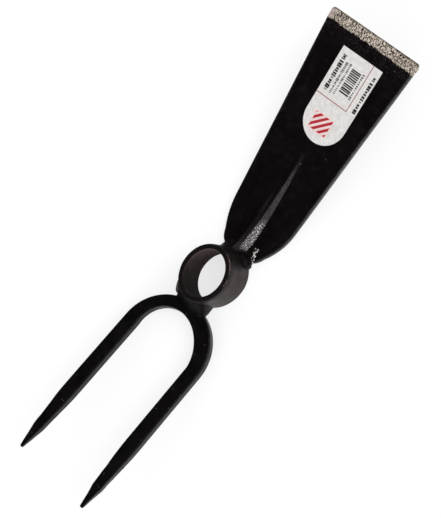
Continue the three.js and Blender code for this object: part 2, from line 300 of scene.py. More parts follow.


# Air-dried black enamel on a forged plate: the darkest and smoothest of the paints. It is rubbed to steel
# on the corners, the right one paler as a painted highlight, lets forge scale through on the rib's right
# flank, drawn pale there as a painted highlight above a painted sheen, and ends at the ground strip. The
# grinding grit is really about 0.1 mm and is drawn coarser so that it shows
bladeFinish = {
    "dark": "#090405", "light": "#0e090a", "mottleMm": 14, "sheenMm": 9, "rough": (0.3, 0.38),
    "peelMm": 0.9, "peelDepthMm": 0.03, "peelStrength": 0.6, "specular": 0.18,
    "speck": "#a39e9a", "speckEveryMm": 3.2, "speckRare": 0.965, "speckRadius": (0.06, 0.13),
    "speckShare": 0.4,
    "layers": [
        # corners rubbed down to grey steel, the right one more: partly a painted highlight
        {"mask": "wear", "edgeMm": 2.2, "reach": 0.4, "from": 0.35, "to": 1.25, "share": 0.7,
         "grainMm": (3, 3, 3), "grain": (0.3, 0.7), "color": "#7c7c80", "between": "#5c5c60", "metal": 0.2},
        # painted sheen: the rib's right flank drawn smooth grey for the light that it reflects
        {"mask": "paintedFlankSheen", "edgeMm": 4, "reach": 0.4, "from": 0.2, "to": 1.0, "share": 0.6,
         "grainMm": (1.6, 1.6, 1.6), "grain": (0.35, 0.65), "color": "#554f51", "between": "#332f31",
         "rough": 0.5},
        # pale sandy grains of forge scale, only on the lit right flank: partly a painted highlight
        {"mask": "scaleAndHighlight", "edgeMm": 1.4, "reach": 1.1, "from": 0.75, "to": 1.35, "share": 1.0,
         "grainMm": (0.9, 0.9, 0.9), "grain": (0.52, 0.66), "color": "#ffffff", "between": "#4a4647",
         "metal": 0.3, "rough": 0.4, "bump": 2.5},
        # grinding dust on the paint behind the strip
        {"mask": "ground", "edgeMm": 3, "reach": 0.0, "from": -13.0, "to": -0.5, "share": 0.8,
         "grainMm": (0.9, 0.9, 0.9), "grain": (0.6, 0.7), "color": "#676369", "between": "#676369",
         "dotted": True},
        # the ground strip, bare steel with crossed furrows
        {"mask": "ground", "edgeMm": 1.6, "reach": 2.4, "from": 1.05, "to": 1.4, "share": 1.0,
         "grainMm": (0.5, 1.1, 1.1), "grain": (0.47, 0.57), "color": "#fbecdb", "between": "#110d0a",
         "metal": 0.4, "rough": 0.42, "bump": 4.0},
        # its left end, burnished smooth
        {"mask": "burnished", "edgeMm": 2, "reach": 0.6, "from": 0.5, "to": 1.1, "share": 0.85,
         "grainMm": (2, 2, 2), "grain": (0.3, 0.7), "color": "#e3d2cc", "between": "#b3a09b"},
        # darker brown along the thin lip
        {"mask": "ground", "edgeMm": 2.4, "reach": 1.6, "from": 6.4, "to": 7.4, "share": 0.75,
         "grainMm": (2.5, 2.5, 2.5), "grain": (0.35, 0.65), "color": "#5d5240", "between": "#3a332b"},
    ],
}
# The same enamel on hot-rolled bar: duller, over small hammer flats, with more specks of dust
forkFinish = {
    "dark": "#060404", "light": "#0d0a0a", "mottleMm": 9, "sheenMm": 6, "rough": (0.34, 0.46),
    "peelMm": 0.8, "peelDepthMm": 0.05, "peelStrength": 0.8, "specular": 0.15,
    "speck": "#8d8784", "speckEveryMm": 1.5, "speckRare": 0.95, "speckRadius": (0.12, 0.2),
    "speckShare": 0.4,
    "layers": [
        {"mask": "wear", "edgeMm": 2.2, "reach": 0.5, "from": 1.1, "to": 1.35, "share": 0.45,
         "grainMm": (3, 3, 3), "grain": (0.3, 0.7), "color": "#6c6663", "between": "#4d4947", "metal": 0.5},
    ],
}
# Specks of dust on the eye and the welds
dullSpecks = {
    "speck": "#8f8883", "speckEveryMm": 2.6, "speckRare": 0.96, "speckRadius": (0.08, 0.16),
    "speckShare": 0.5,
}
# A thinner, brown-black coat on the rolled eye: warmer and lighter on the walls, matt in the bore where
# the handle rubs and darkened there as painted shade, one side of the bore lighter as painted light,
# painted shade on the rims, under the upper rim and beside the welds, rubbed to a dull pinkish brown on
# the upper corner, partly a painted highlight
eyeFinish = {
    "dark": "#231d1d", "light": "#332a28", "mottleMm": 7, "sheenMm": 5, "rough": (0.38, 0.5),
    "peelMm": 0.8, "peelDepthMm": 0.04, "peelStrength": 0.7, "specular": 0.12,
    **dullSpecks,
    "layers": [
        # painted shade: the bore's wall drawn nearly black
        {"mask": "bore", "edgeMm": 5, "reach": 0.3, "from": 0.4, "to": 0.9, "share": 1.0,
         "grainMm": (6, 6, 3), "grain": (0.35, 0.65), "color": "#0d0a0a", "between": "#080606",
         "rough": 0.85},
        # painted light: the blade's side of the bore drawn lighter brown
        {"mask": "litBoreSide", "edgeMm": 6, "reach": 0.4, "from": 0.15, "to": 1.25, "share": 1.0,
         "grainMm": (5, 5, 3), "grain": (0.35, 0.65), "color": "#6d5a59", "between": "#504545"},
        # painted shade: the rims, the wall under the upper rim and the wall beside the welds drawn near black
        {"mask": "rimAndWeldShade", "edgeMm": 2, "reach": 0.3, "from": 0.4, "to": 0.9, "share": 0.9,
         "grainMm": (2, 2, 2), "grain": (0.4, 0.6), "color": "#100b0b", "between": "#070506",
         "rough": 0.5},
        # the upper corner rubbed to pinkish brown, strongest on one side: partly a painted highlight
        {"mask": "wear", "edgeMm": 2.6, "reach": 0.8, "from": 1.3, "to": 1.5, "share": 0.6,
         "grainMm": (1, 1, 1), "grain": (0.4, 0.6), "color": "#96777a", "between": "#54403f", "metal": 0.3},
    ],
}
# Enamel over rippled weld: black and lumpy, its gloss broken by the ripples
weldFinish = {
    "dark": "#070505", "light": "#0f0b0b", "mottleMm": 4, "sheenMm": 4, "rough": (0.42, 0.58),
    "peelMm": 0.9, "peelDepthMm": 0.07, "peelStrength": 0.8, "specular": 0.08,
    **dullSpecks,
    "layers": [],
}
bladePaint = paintMaterial("blackEnamelOnForgedBlade", bladeFinish)
forkPaint = paintMaterial("blackEnamelOnHotRolledBar", forkFinish)
eyePaint = paintMaterial("thinBrownBlackEnamelOnRolledEye", eyeFinish)
weldPaint = paintMaterial("blackEnamelOnWeldBead", weldFinish)

# the drops' near-white colour is partly a painted glint
spatterLook = {
    "brightAndGlint": "#fbf8f5", "dull": "#8d8581", "toneMm": 0.9, "toneNoise": {"Detail": 3.0, "Roughness": 0.7},
    "toneLevels": (0.36, 0.56), "metal": 0.55, "roughness": 0.36, "pitMm": 0.45, "pitDepthMm": 0.05,
    "pitStrength": 0.8,
}


# Weld spatter that fell on wet paint: frozen drops of bare steel, drawn near white as a painted glint,
# with a few dull sides
def spatterMaterial(look):
    material, add = newMaterial("weldSpatterSteelWithPaintedGlint")
    place = add("TexCoord")["Object"]
    pattern = {"Vector": place, "Scale": mmPerMetre / look["toneMm"], **look["toneNoise"]}
    color = mottled(add, pattern, look["toneLevels"], look["dull"], look["brightAndGlint"])[2]
    pits = add("TexNoise", {"Vector": place, "Scale": mmPerMetre / look["pitMm"]})["Fac"]
    endMaterial(add, pits, look["pitDepthMm"], look["pitStrength"], {
        "Base Color": color, "Metallic": look["metal"], "Roughness": look["roughness"]})
    return material


spatterSteelAndGlint = spatterMaterial(spatterLook)

# The print is generic: ruled lines, rows of short strokes, a block of bars and a hatched red panel
labelPrint = {
    "paper": "#dad7d5", "paperShade": "#c6c3c1", "roughness": 0.62, "specular": 0.3,
    "fibreMm": 2.5, "fibreNoise": {"Detail": 5.0, "Roughness": 0.7}, "fibreLevels": (0.35, 0.65),
    "fibreDepthMm": 0.03, "fibreStrength": 0.5,
    "rule": "#7f403d", "ink": "#1f1d1e", "greyInk": "#595455", "red": "#a31f2d", "halo": "#e9bab7",
    # each mark: centre x, centre along, half width, half length, ink, pitch of its strokes along (0: solid)
    # and the share of it inked. Where the pitch says hatch, the last is a slanted stroke's half width
    "marks": [
        (8.4, 15.6, 0.25, 15.6, "rule", 0, 1), (-3.3, 31.3, 11.7, 0.25, "rule", 0, 1),
        (-11.0, 15.9, 1.55, 11.9, "ink", 1.6, 0.72), (-7.3, 17.4, 1.0, 10.6, "greyInk", 1.2, 0.62),
        (-4.6, 16.8, 0.75, 10.4, "greyInk", 1.1, 0.62), (0.9, 16.2, 3.5, 7.9, "ink", 1.35, 0.6),
        (5.9, 15.9, 0.75, 9.2, "greyInk", 1.5, 0.55), (12.9, 17.7, 1.2, 12.6, "ink", 1.8, 0.66),
        (-1.6, 46.4, 7.05, 5.85, "halo", "hatch", 1.3), (-1.6, 46.4, 6.6, 5.4, "red", "hatch", 0.85),
    ],
    # a stroke's least and most width, as shares of its row's share, and never more than the third
    "strokeWidths": (0.55, 1.45, 0.95),
    # a row narrower than the first has strokes from the second to the third share of its height
    "strokeHeights": (3.0, 0.55, 1.05),
    "hatchPitch": 3.3, "softMm": 0.12, "mapUnit": 100.0,
}


# Coated white paper, matt, with faint fibre mottling, printed in thin flat inks
def labelMaterial(look):
    material, add = newMaterial("printedCoatedPaper")
    place = add("TexCoord")["Object"]
    pattern = {"Vector": place, "Scale": mmPerMetre / look["fibreMm"], **look["fibreNoise"]}
    fibre, _, color = mottled(add, pattern, look["fibreLevels"], look["paper"], look["paperShade"])
    # the print reads the label's own map, turned back to millimetres
    onLabel = add("UVMap", uv_map="labelMm")[0]
    onLabel = add("VectorMath", {0: onLabel, "Scale": look["mapUnit"]}, operation="SCALE")[0]
    across, along = add("SeparateXYZ", {0: onLabel})[:2]
    # how far a place is from the middle of the nearest slanted stroke
    slanted = add("Math", {0: across, 1: along}, operation="ADD")[0]
    slanted = add("Math", {0: slanted, 1: math.sqrt(0.5)}, operation="MULTIPLY")[0]
    offStroke = add("Math", {0: slanted, 1: look["hatchPitch"] / 2}, operation="PINGPONG")[0]
    least, most, cap = look["strokeWidths"]
    narrow, short, tall = look["strokeHeights"]
    soft = look["softMm"]
    for x, d, halfX, halfD, ink, pitch, share in look["marks"]:
        box = add("Mapping", {
            "Vector": onLabel, "Location": (x, d, 0), "Scale": (halfX, halfD, 1)}, vector_type="TEXTURE")[0]
        box = add("VectorMath", {0: box}, operation="ABSOLUTE")[0]
        offX, offD = add("SeparateXYZ", {0: box})[:2]
        mask = add("Math", {0: offX, 1: offD}, operation="MAXIMUM")[0]
        limits = [add("Math", {0: mask, 1: 1.0}, operation="LESS_THAN")[0]]
        if pitch == "hatch":
            limits += [add("MapRange", {0: offStroke, 1: share - soft, 2: share + soft, 3: 1.0, 4: 0.0})[0]]
        elif pitch:
            turns = add("Math", {0: along, 1: pitch}, operation="DIVIDE")[0]
            step = add("Math", {0: turns}, operation="FLOOR")[0]
            within = add("Math", {0: turns}, operation="FRACT")[0]
            width = add("TexWhiteNoise", {"W": step}, noise_dimensions="1D")["Value"]
            width = add("MapRange", {0: width, 3: share * least, 4: min(cap, share * most)})[0]
            limits += [add("Math", {0: within, 1: width}, operation="LESS_THAN")[0]]
            if halfX < narrow:
                # half a step on, the noise gives the same stroke a second number
                height = add("Math", {0: step, 1: 0.5}, operation="ADD")[0]
                height = add("TexWhiteNoise", {"W": height}, noise_dimensions="1D")["Value"]
                height = add("MapRange", {0: height, 3: short, 4: tall})[0]
                limits += [add("Math", {0: offX, 1: height}, operation="LESS_THAN")[0]]
        mask = limits[0]
        for limit in limits[1:]:
            mask = add("Math", {0: mask, 1: limit}, operation="MULTIPLY")[0]
        color = add("Mix", {0: mask, 6: color, 7: linear(look[ink])}, data_type="RGBA")[2]
    endMaterial(add, fibre, look["fibreDepthMm"], look["fibreStrength"], {
        "Base Color": color, "Roughness": look["roughness"], "Specular IOR Level": look["specular"]})
    return material


labelPaper = labelMaterial(labelPrint)
print("materials made")

# Eye

eye = {
    "height": 25.4, "wall": 3.4, "footSwell": 1.6, "topWidth": 25.6, "topLength": 31.2,
    "bottomWidth": 27.0, "bottomLength": 33.2, "outerRound": 0.9, "boreRound": 0.7,
    "angles": 256, "roundSteps": 7, "wallSteps": 30, "rimSteps": 5, "fitTurns": 6,
    # hammer flats: size and depth, how much finer the small ones are, their share, and how far in all lie
    "hammerMm": 7.0, "hammerDepth": 0.08, "finer": 2.5, "fineShare": 0.5, "beatenIn": 0.35,
    # shares of the outer corner's radius: how near to a rim's plane its painted shade and the worn corner
    # come
    "rimShare": 0.2, "wornShare": 0.05,
    # the upper corner is rubbed, with a painted highlight, round one angle from +X, in radians: the cosines
    # off it where that fades and where it is full, and the least of it elsewhere
    "rubbedAndLitAngle": 0.68, "rubbedAndLitFades": 0.5, "rubbedAndLitFull": 0.95, "rubbedAndLitLeast": 0.6,
    # painted shade: how far down the wall it reaches under the upper rim and the most of it there, and
    # where it is black further down, beside the fork's and the blade's welds: middles and half widths in
    # degrees from +X, and the height that it starts at
    "shadeDown": 9.0, "shadeUnderRim": 0.85, "shadeByWelds": [(262, 34), (80, 46)], "shadeByWeldsFades": 14,
    "shadeByWeldsFrom": (8.0, 4),
    # the bore's painted light sets in over one angle, a share of it late, and fades along another
    "litSideIn": 60, "litSideLate": 0.4, "litSideOut": (252, -172),
}


# A point a given distance outside the bore, at an angle from +X
def onBore(angle, outside, z):
    share = z / eye["height"]
    across = mix(eye["bottomWidth"], eye["topWidth"], share) / 2 + outside
    along = mix(eye["bottomLength"], eye["topLength"], share) / 2 + outside
    return np.stack(np.broadcast_arrays(across * np.cos(angle), along * np.sin(angle), z), -1)


def wallThickness(angle, z):
    half = math.sqrt(0.5)
    towards = np.maximum(0, np.abs(np.cos(angle)) * half + np.sin(angle) * half)
    return eye["wall"] + eye["footSwell"] * towards ** 2 * (1 - z / eye["height"])


# Where the wall's outer face is along Y, on the blade's side, at a given x and z
def wallAlong(x, z):
    share = z / eye["height"]
    angle = np.full(np.shape(x), math.pi / 2)
    for _ in range(eye["fitTurns"]):
        across = mix(eye["bottomWidth"], eye["topWidth"], share) / 2 + wallThickness(angle, z)
        angle = np.arccos(np.clip(x / across, -1, 1))
    along = mix(eye["bottomLength"], eye["topLength"], share) / 2 + wallThickness(angle, z)
    return along * np.sin(angle)


def buildEye():
    angle = np.linspace(0, 2 * math.pi, eye["angles"], endpoint=False)
    outer, bore = eye["outerRound"], eye["boreRound"]
    turns = np.linspace(0, math.pi / 2, eye["roundSteps"])
    up = np.linspace(0, 1, eye["wallSteps"] + 2)[1:-1]
    rim = np.linspace(0, 1, eye["rimSteps"] + 2)[1:-1]
    top = eye["height"]
    # each point of the section: share of the wall's thickness, offset outwards, height
    section = [(1, -outer + outer * math.sin(t), outer - outer * math.cos(t)) for t in turns]
    section += [(1, 0, mix(outer, top - outer, u)) for u in up]
    section += [(1, -outer + outer * math.cos(t), top - outer + outer * math.sin(t)) for t in turns]
    section += [(1 - u, mix(-outer, bore, u), top) for u in rim]
    section += [(0, bore - bore * math.sin(t), top - bore + bore * math.cos(t)) for t in turns]
    section += [(0, 0, mix(top - bore, bore, u)) for u in up]
    section += [(0, bore - bore * math.cos(t), bore - bore * math.sin(t)) for t in turns]
    section += [(u, mix(bore, -outer, u), 0) for u in rim]
    parts = np.array(section, float)
    rows = [onBore(t, parts[:, 0] * wallThickness(t, parts[:, 2]) + parts[:, 1], parts[:, 2]) for t in angle]
    points = np.array(rows)
    fine = eye["fineShare"] * lumps(points, eye["hammerMm"] / eye["finer"], seed=2)
    beaten = lumps(points, eye["hammerMm"], seed=1) + fine - eye["beatenIn"]
    outward = points * [1, 1, 0]
    outward /= np.linalg.norm(outward, axis=-1, keepdims=True)
    # the outer half of the wall's thickness goes with its outer face
    outside, z = parts[:, 0] > 0.5, parts[:, 2]
    sign = np.where(outside, 1.0, -1.0)[None, :, None]
    points = points + outward * sign * beaten[..., None] * eye["hammerDepth"]
    onRim = (z < outer * eye["rimShare"]) | (z > top - outer * eye["rimShare"])
    inBore = ~outside & ~onRim
    onCorner = (parts[:, 0] == 1) & (z > top - outer) & (z < top - outer * eye["wornShare"])
    # the corner is rubbed most on the side where the tool lies in the hand; there its pinkish brown is also
    # a painted highlight
    fades, full = eye["rubbedAndLitFades"], eye["rubbedAndLitFull"]
    rubbedAndLit = ramp(np.cos(angle - eye["rubbedAndLitAngle"]), (fades, full - fades))
    rubbedAndLit = mix(eye["rubbedAndLitLeast"], 1.0, rubbedAndLit)
    degrees = np.degrees(angle)
    # painted shade under the upper rim, on the rims and beside the welds
    under = smooth((z - top + eye["shadeDown"]) / eye["shadeDown"]) * outside
    shadeByWelds = sum(ramp(np.abs(degrees - middle), (half, -eye["shadeByWeldsFades"])) for middle, half in eye["shadeByWelds"])
    shadeByWelds = np.outer(shadeByWelds, outside * ramp(z, eye["shadeByWeldsFrom"]))
    rimAndWeldShade = np.maximum(shadeByWelds, np.where(onRim, 1.0, eye["shadeUnderRim"] * under))
    # painted light on the blade's side of the bore
    boreLight = ramp(degrees, eye["litSideOut"]) * smooth(degrees / eye["litSideIn"] - eye["litSideLate"])
    faces = gridFaces(len(angle), len(section), True)
    mesh = meshOf("eye_collar_skin", points, faces, {
        "bore": np.tile(inBore, (len(angle), 1)), "litBoreSide": np.outer(boreLight, inBore), "rimAndWeldShade": rimAndWeldShade,
        "wear": np.outer(rubbedAndLit, onCorner)})
    addPiece(tidyMesh(mesh, mergeMm=0.002, crease=50), eyePaint, ["eye_collar"])


buildEye()
print("eye made")

# Blade

blade = {
    "reach": 174.5, "edgeWidth": 67.9, "neckWidth": 48.5, "neckAt": 50.0, "shoulderRadius": 52.0,
    "rootWidth": 21.6, "lean": 0.43, "rise": 13.3, "bendStart": 25.0, "bendEnd": 55.0, "footTop": 2.85,
    "rootThickness": 2.5, "endThickness": 1.4, "edgeThickness": 0.6, "groundWidth": 7.0,
    "cornerRadius": 2.6, "sideRound": 0.55, "thinnestRound": 2.4, "sideRoll": 1.5, "rootAt": 20.8,
    "innerAt": 15.6, "rootBlend": 27.0, "sink": 0.5,
    # the rib: where it ends, its height and half widths, how each falls off, and its section
    "ribEnd": 94.0, "ribHeight": 8.5, "ribFade": 1.9, "ribHalf": 5.4, "ribTipHalf": 1.2, "ribTaper": 0.42,
    "ribShape": 1.35, "crestRound": 0.3,
    # ramps that bound the scale grains and painted highlight, and the painted sheen, on the rib's right
    # flank: along the blade, and as shares down from the crest to the foot
    "scaleAndHighlightIn": (19.0, 8.0), "scaleAndHighlightOut": (51.0, -13.0), "sheenIn": (20.5, 3), "sheenOut": (95.0, -26),
    "crestIn": (0.24, 0.12), "footOut": (1.03, -0.1),
    # how worn the plate's corners are, over what length and width; the right corner's extra wear is a painted
    # highlight
    "rightWornAndLit": 1.0, "leftWornAndLit": 0.4, "shoulderWorn": 0.6, "wornIn": 40, "wornMm": 2.2, "burnishedMm": 6.0,
    # how much of the side's rounding counts as the top, and how far round the end all of the ring is ground
    "topDepth": 1.5, "endShown": 1.2,
    # slow waves of the plate: size, depth, where they set in and where they end
    "waveMm": 26.0, "waveDepth": 0.16, "waveIn": (30, 30), "waveOut": (158, 14),
    # hammer flats on the rib's flank, large and small: size and depth, and how soon they are in full
    "flats": ((4.5, 0.14), (1.6, 0.05)), "flatGain": 2,
    "raggedMm": 3.5, "raggedDepth": 0.9, "furrowMm": 1.3, "furrowDepth": 0.16,
    "rootSteps": 22, "ribSteps": 110, "plateSteps": 66, "groundSteps": 30, "endSteps": 14, "runMargin": 2,
    "crossSteps": 22, "crossCrowding": 1.3, "flankSteps": 26, "crestCrowding": 1.15, "underSteps": 44,
    "roundSteps": 5, "rollSteps": 8,
    # what the plate's own points say: share down the rib, and millimetres past the ground strip's start
    "offRib": 2.0, "notGround": -40.0,
}
flareSlope = (blade["edgeWidth"] - blade["neckWidth"]) / 2 / (blade["reach"] - blade["neckAt"])
flareAngle = math.atan(flareSlope)
riseSlope = math.tan(math.radians(blade["rise"]))


def bladeHalfWidth(y):
    radius, corner = blade["shoulderRadius"], blade["cornerRadius"]
    shoulderX = blade["neckWidth"] / 2 - radius * math.cos(flareAngle)
    shoulderY = blade["neckAt"] + radius * math.sin(flareAngle)
    if y < blade["neckAt"]:
        down = min(radius, shoulderY - y)
        return max(blade["rootWidth"] / 2, shoulderX + math.sqrt(radius ** 2 - down ** 2))
    flare = blade["neckWidth"] / 2 + flareSlope * (y - blade["neckAt"])
    past = max(0.0, y - (blade["reach"] - corner))
    return flare - corner + math.sqrt(max(0.0, corner ** 2 - past ** 2))


# Height of the flat of the blade's top face
def bladeTop(y):
    bend = blade["bendEnd"] - blade["bendStart"]
    into = np.clip(y - blade["bendStart"], 0, bend)
    beyond = riseSlope * np.maximum(0, y - blade["bendEnd"])
    return blade["footTop"] + riseSlope * (into ** 2 / 2 / bend) + beyond


# Slow waves that forging and rolling left in the plate, none near the eye and the cutting edge
def bladeWave(x, y):
    calm = ramp(y, blade["waveIn"]) * (1 - ramp(y, blade["waveOut"]))
    return lumps(np.stack([x, y, y * 0], -1), blade["waveMm"], seed=5) * blade["waveDepth"] * calm


# The plate's middle line, which leans a little to the right
def bladeMiddle(y):
    return math.tan(math.radians(blade["lean"])) * (y - blade["rootAt"])


# Half the section at y from the bottom corner to the rib's crest: x, z, share from crest to foot
def bladeSide(y, half, top, bottom):
    corner = min(blade["sideRound"], (top - bottom) / blade["thinnestRound"])
    roll = blade["sideRoll"]
    along = float(clamp01((y - blade["rootAt"]) / (blade["ribEnd"] - blade["rootAt"])))
    tall = blade["ribHeight"] * (1 - along) ** blade["ribFade"]
    ribHalf = mix(blade["ribTipHalf"], blade["ribHalf"], (1 - along) ** blade["ribTaper"])
    offRib = blade["offRib"]
    side = [(half - corner + corner * math.sin(t), bottom + corner - corner * math.cos(t), offRib)
            for t in np.linspace(0, math.pi / 2, blade["roundSteps"])]
    side += [(half - roll + roll * math.cos(t), top - corner + corner * math.sin(t), offRib)
             for t in np.linspace(0, math.pi / 2, blade["rollSteps"])[:-1]]
    side += [(mix(half - roll, ribHalf, c), top, offRib)
             for c in np.linspace(0, 1, blade["crossSteps"]) ** blade["crossCrowding"]]
    crest = blade["crestRound"]
    for u in 1 - np.linspace(0, 1, blade["flankSteps"])[1:] ** blade["crestCrowding"]:
        down = (math.hypot(u, crest) - crest) / (math.hypot(1, crest) - crest)
        side.append((ribHalf * u, top + tall * max(0.0, 1 - down) ** blade["ribShape"], u))
    return side


def buildBlade():
    groundFrom = blade["reach"] - blade["groundWidth"]
    cornerStart = blade["reach"] - blade["cornerRadius"]
    ending = cornerStart + blade["cornerRadius"] * np.sin(np.linspace(0, math.pi / 2, blade["endSteps"]))
    margin = blade["runMargin"]
    marks = (blade["innerAt"], blade["rootBlend"], blade["ribEnd"] + margin, groundFrom - margin, cornerStart)
    steps = (blade["rootSteps"], blade["ribSteps"], blade["plateSteps"], blade["groundSteps"])
    runs = [np.linspace(marks[i], marks[i + 1], steps[i])[:-1] for i in range(len(steps))]
    stations = np.concatenate(runs + [ending])
    rows, ground, scaleAndHighlight, paintedFlankSheen, wear, burnished = [], [], [], [], [], []
    for y in stations:
        half = bladeHalfWidth(y)
        along = clamp01((y - blade["bendStart"]) / (groundFrom - blade["bendStart"]))
        off = max(0.0, y - groundFrom) / blade["groundWidth"]
        off *= blade["endThickness"] - blade["edgeThickness"]
        top = float(bladeTop(y)) - off
        bottom = float(bladeTop(y)) - mix(blade["rootThickness"], blade["endThickness"], along)
        right = bladeSide(y, half, top, bottom)
        left = [(-x, z, -u) for x, z, u in right[:-1]][::-1]
        under = [(-share * right[0][0], bottom, blade["offRib"])
                 for share in np.linspace(1, -1, blade["underSteps"])[1:-1]]
        ring = np.array(right + left + under)
        x, z, down = ring[:, 0] + bladeMiddle(y), ring[:, 1], ring[:, 2]
        # the root follows the eye's wall and sinks into it
        into = (y - blade["innerAt"]) / (blade["rootBlend"] - blade["innerAt"])
        yAt = np.full(len(ring), y)
        if into < 1:
            yAt = mix(wallAlong(x, np.clip(z, 0, eye["height"])) - blade["sink"], blade["rootBlend"], into)
        rows.append(np.stack([x, yAt, z], -1))
        onTop = np.arange(len(ring)) < len(right) + len(left)
        onTop &= z > top - blade["sideRound"] * blade["topDepth"]
        shown = onTop | (y > cornerStart + blade["endShown"])
        ground.append(np.where(shown, y - groundFrom, blade["notGround"]))
        # only the lit right flank gets the grains and the painted sheen, from just under the crest to the
        # foot: partly painted highlight
        flank = ramp(down, blade["crestIn"]) * (down <= 1.0) * ramp(down, blade["footOut"])
        scaleAndHighlight.append(flank * ramp(y, blade["scaleAndHighlightIn"]) * ramp(y, blade["scaleAndHighlightOut"]))
        paintedFlankSheen.append(flank * ramp(y, blade["sheenIn"]) * ramp(y, blade["sheenOut"]))
        # the right corner is paler than the left: wear, and a painted highlight
        most = np.where(ring[:, 0] > 0, blade["rightWornAndLit"], blade["leftWornAndLit"])
        most = most * mix(blade["shoulderWorn"], 1.0, ramp(y, (blade["neckAt"], blade["wornIn"])))
        wear.append(most * clamp01(1 - (half - np.abs(ring[:, 0])) / blade["wornMm"]))
        burnished.append(onTop * clamp01(1 - (half + ring[:, 0]) / blade["burnishedMm"]) * (y > groundFrom))
    points = np.array(rows)
    points[..., 2] += bladeWave(points[..., 0], points[..., 1])
    # the rib's flank was hammered: small flats
    (large, largeDepth), (small, smallDepth) = blade["flats"]
    hammered = lumps(points, large, seed=7) * largeDepth + lumps(points, small, seed=8) * smallDepth
    points[..., 2] += hammered * clamp01(np.array(paintedFlankSheen) * blade["flatGain"])
    groundAt = np.array(ground)
    ragged = lumps(points * [1, 0, 0], blade["raggedMm"], seed=9) * blade["raggedDepth"]
    groundAt = np.where(groundAt > blade["notGround"], groundAt + ragged, groundAt)
    # grinding furrows, cut down only
    cut = np.abs(lumps(points * [1, 1, 0], blade["furrowMm"], seed=11)) * blade["furrowDepth"]
    points[..., 2] -= np.where(groundAt > 0, cut * clamp01(groundAt), 0)
    count = points.shape[1]
    faces = gridFaces(len(stations), count)
    faces += [tuple(range(count))[::-1], tuple((len(stations) - 1) * count + i for i in range(count))]
    mesh = meshOf("blade_skin", points, faces, {
        "ground": groundAt, "scaleAndHighlight": scaleAndHighlight, "paintedFlankSheen": paintedFlankSheen, "wear": wear, "burnished": burnished})
    work = opened(mesh)
    splitWideFaces(work)
    mesh = tidyMesh(closed(work, mesh), mergeMm=0.0005, crease=42)
    addPiece(mesh, bladePaint, ["blade"])


buildBlade()
print("blade made")

# Fork

fork = {
    "barWidth": 9.5, "barDepth": 6.9, "width": 64.4, "crownReach": 32.8, "crownWaist": 9.3, "waistFocus": 4,
    "lean": 1.5, "rise": 9.3, "footHeight": 0.25, "splay": 0.7, "length": 107.5, "drawn": 44.0, "point": 15.5,
    "pointWidth": 6.4, "pointDepth": 5.6, "tipWidth": 1.9, "tipDepth": 1.9, "crownCentreAt": 55.6,
    # the blunt tip: its length, how far it swells before it rounds over, and the width left at its very end
    "bluntLength": 1.0, "bluntSwell": (0.3, 0.24), "bluntShare": 0.55, "bluntTurn": 0.47 * math.pi,
    "legStepMm": 0.9, "crownSteps": 110, "tipSteps": 5,
    # the inputs of the fork's tree, lengths in metres
    "treeInputs": {
        "Corner share": 0.24, "Corner steps": 6, "Ring points": 64, "Hammer size": 7.5 * metresPerMm,
        "Hammer depth": 0.6 * metresPerMm},
    "hammerNoise": {"Detail": 1.5, "Roughness": 0.4}, "hammerLevel": 0.62,
    # how much it was hammered: at the crown, at the very tip, how much less towards the point, and the ramp
    # by which that comes in round the start of the drawn part
    "crownBeaten": 0.25, "tipBeaten": 0.3, "pointLess": 0.6, "beatenIn": (-12, 25),
}
# What the sweep reads from the path and the section, by the names that it is stored under
sweepLayers = {
    "centre": "FLOAT_VECTOR", "section": "FLOAT_VECTOR", "outward": "FLOAT_VECTOR", "upward": "FLOAT_VECTOR",
    "halfWidth": "FLOAT", "halfDepth": "FLOAT", "beaten": "FLOAT",
}
splay = math.radians(fork["splay"])
crownAcross = (fork["width"] - fork["barWidth"]) / 2
crownAlong = fork["crownReach"] - fork["crownWaist"] / 2


# One leg from the crown to its tip: centre, outward direction, width, depth and how much it was hammered
def forkLeg(side):
    drawnFrom, pointFrom = fork["length"] - fork["drawn"], fork["length"] - fork["point"]
    bluntFrom = fork["length"] - fork["bluntLength"]
    rows = []
    for down in np.arange(fork["legStepMm"], bluntFrom, fork["legStepMm"]).tolist() + [drawnFrom, pointFrom]:
        draw = float(clamp01((down - drawnFrom) / (pointFrom - drawnFrom)))
        tip = float(clamp01((down - pointFrom) / fork["point"]))
        width = mix(mix(fork["barWidth"], fork["pointWidth"], draw), fork["tipWidth"], tip)
        depth = mix(mix(fork["barDepth"], fork["pointDepth"], draw), fork["tipDepth"], tip)
        beaten = float(ramp(down - drawnFrom, fork["beatenIn"])) * (1 - fork["pointLess"] * tip)
        rows.append((down, width, depth, beaten))
    rows.sort()
    for step in range(fork["tipSteps"] + 1):
        share = step / fork["tipSteps"]
        turn = share * fork["bluntTurn"]
        end = mix(fork["bluntShare"], 1, math.cos(turn))
        width, depth = [(size + swell * (1 - share)) * end for size, swell in zip(
            (fork["tipWidth"], fork["tipDepth"]), fork["bluntSwell"])]
        rows.append((bluntFrom + fork["bluntLength"] * math.sin(turn), width, depth, fork["tipBeaten"]))
    outward = splay if side > 0 else math.pi - splay
    x, y = crownAcross * math.cos(splay), crownAlong * math.sin(splay) - fork["crownCentreAt"]
    return [(side * (x + down * math.sin(splay)), y - down * math.cos(splay), outward, width, depth, beaten)
            for down, width, depth, beaten in rows]


def forkCrown():
    rows = []
    for share in np.linspace(0, 1, fork["crownSteps"]):
        turn = mix(splay, math.pi - splay, share)
        lean = fork["lean"] * math.sin(2 * turn)
        width = mix(fork["barWidth"], fork["crownWaist"], math.sin(turn) ** fork["waistFocus"]) + lean
        x = (crownAcross - lean / 2) * math.cos(turn)
        y = (crownAlong - lean / 2) * math.sin(turn) - fork["crownCentreAt"]
        rows.append((x, y, turn, width, fork["barDepth"], fork["crownBeaten"]))
    return rows


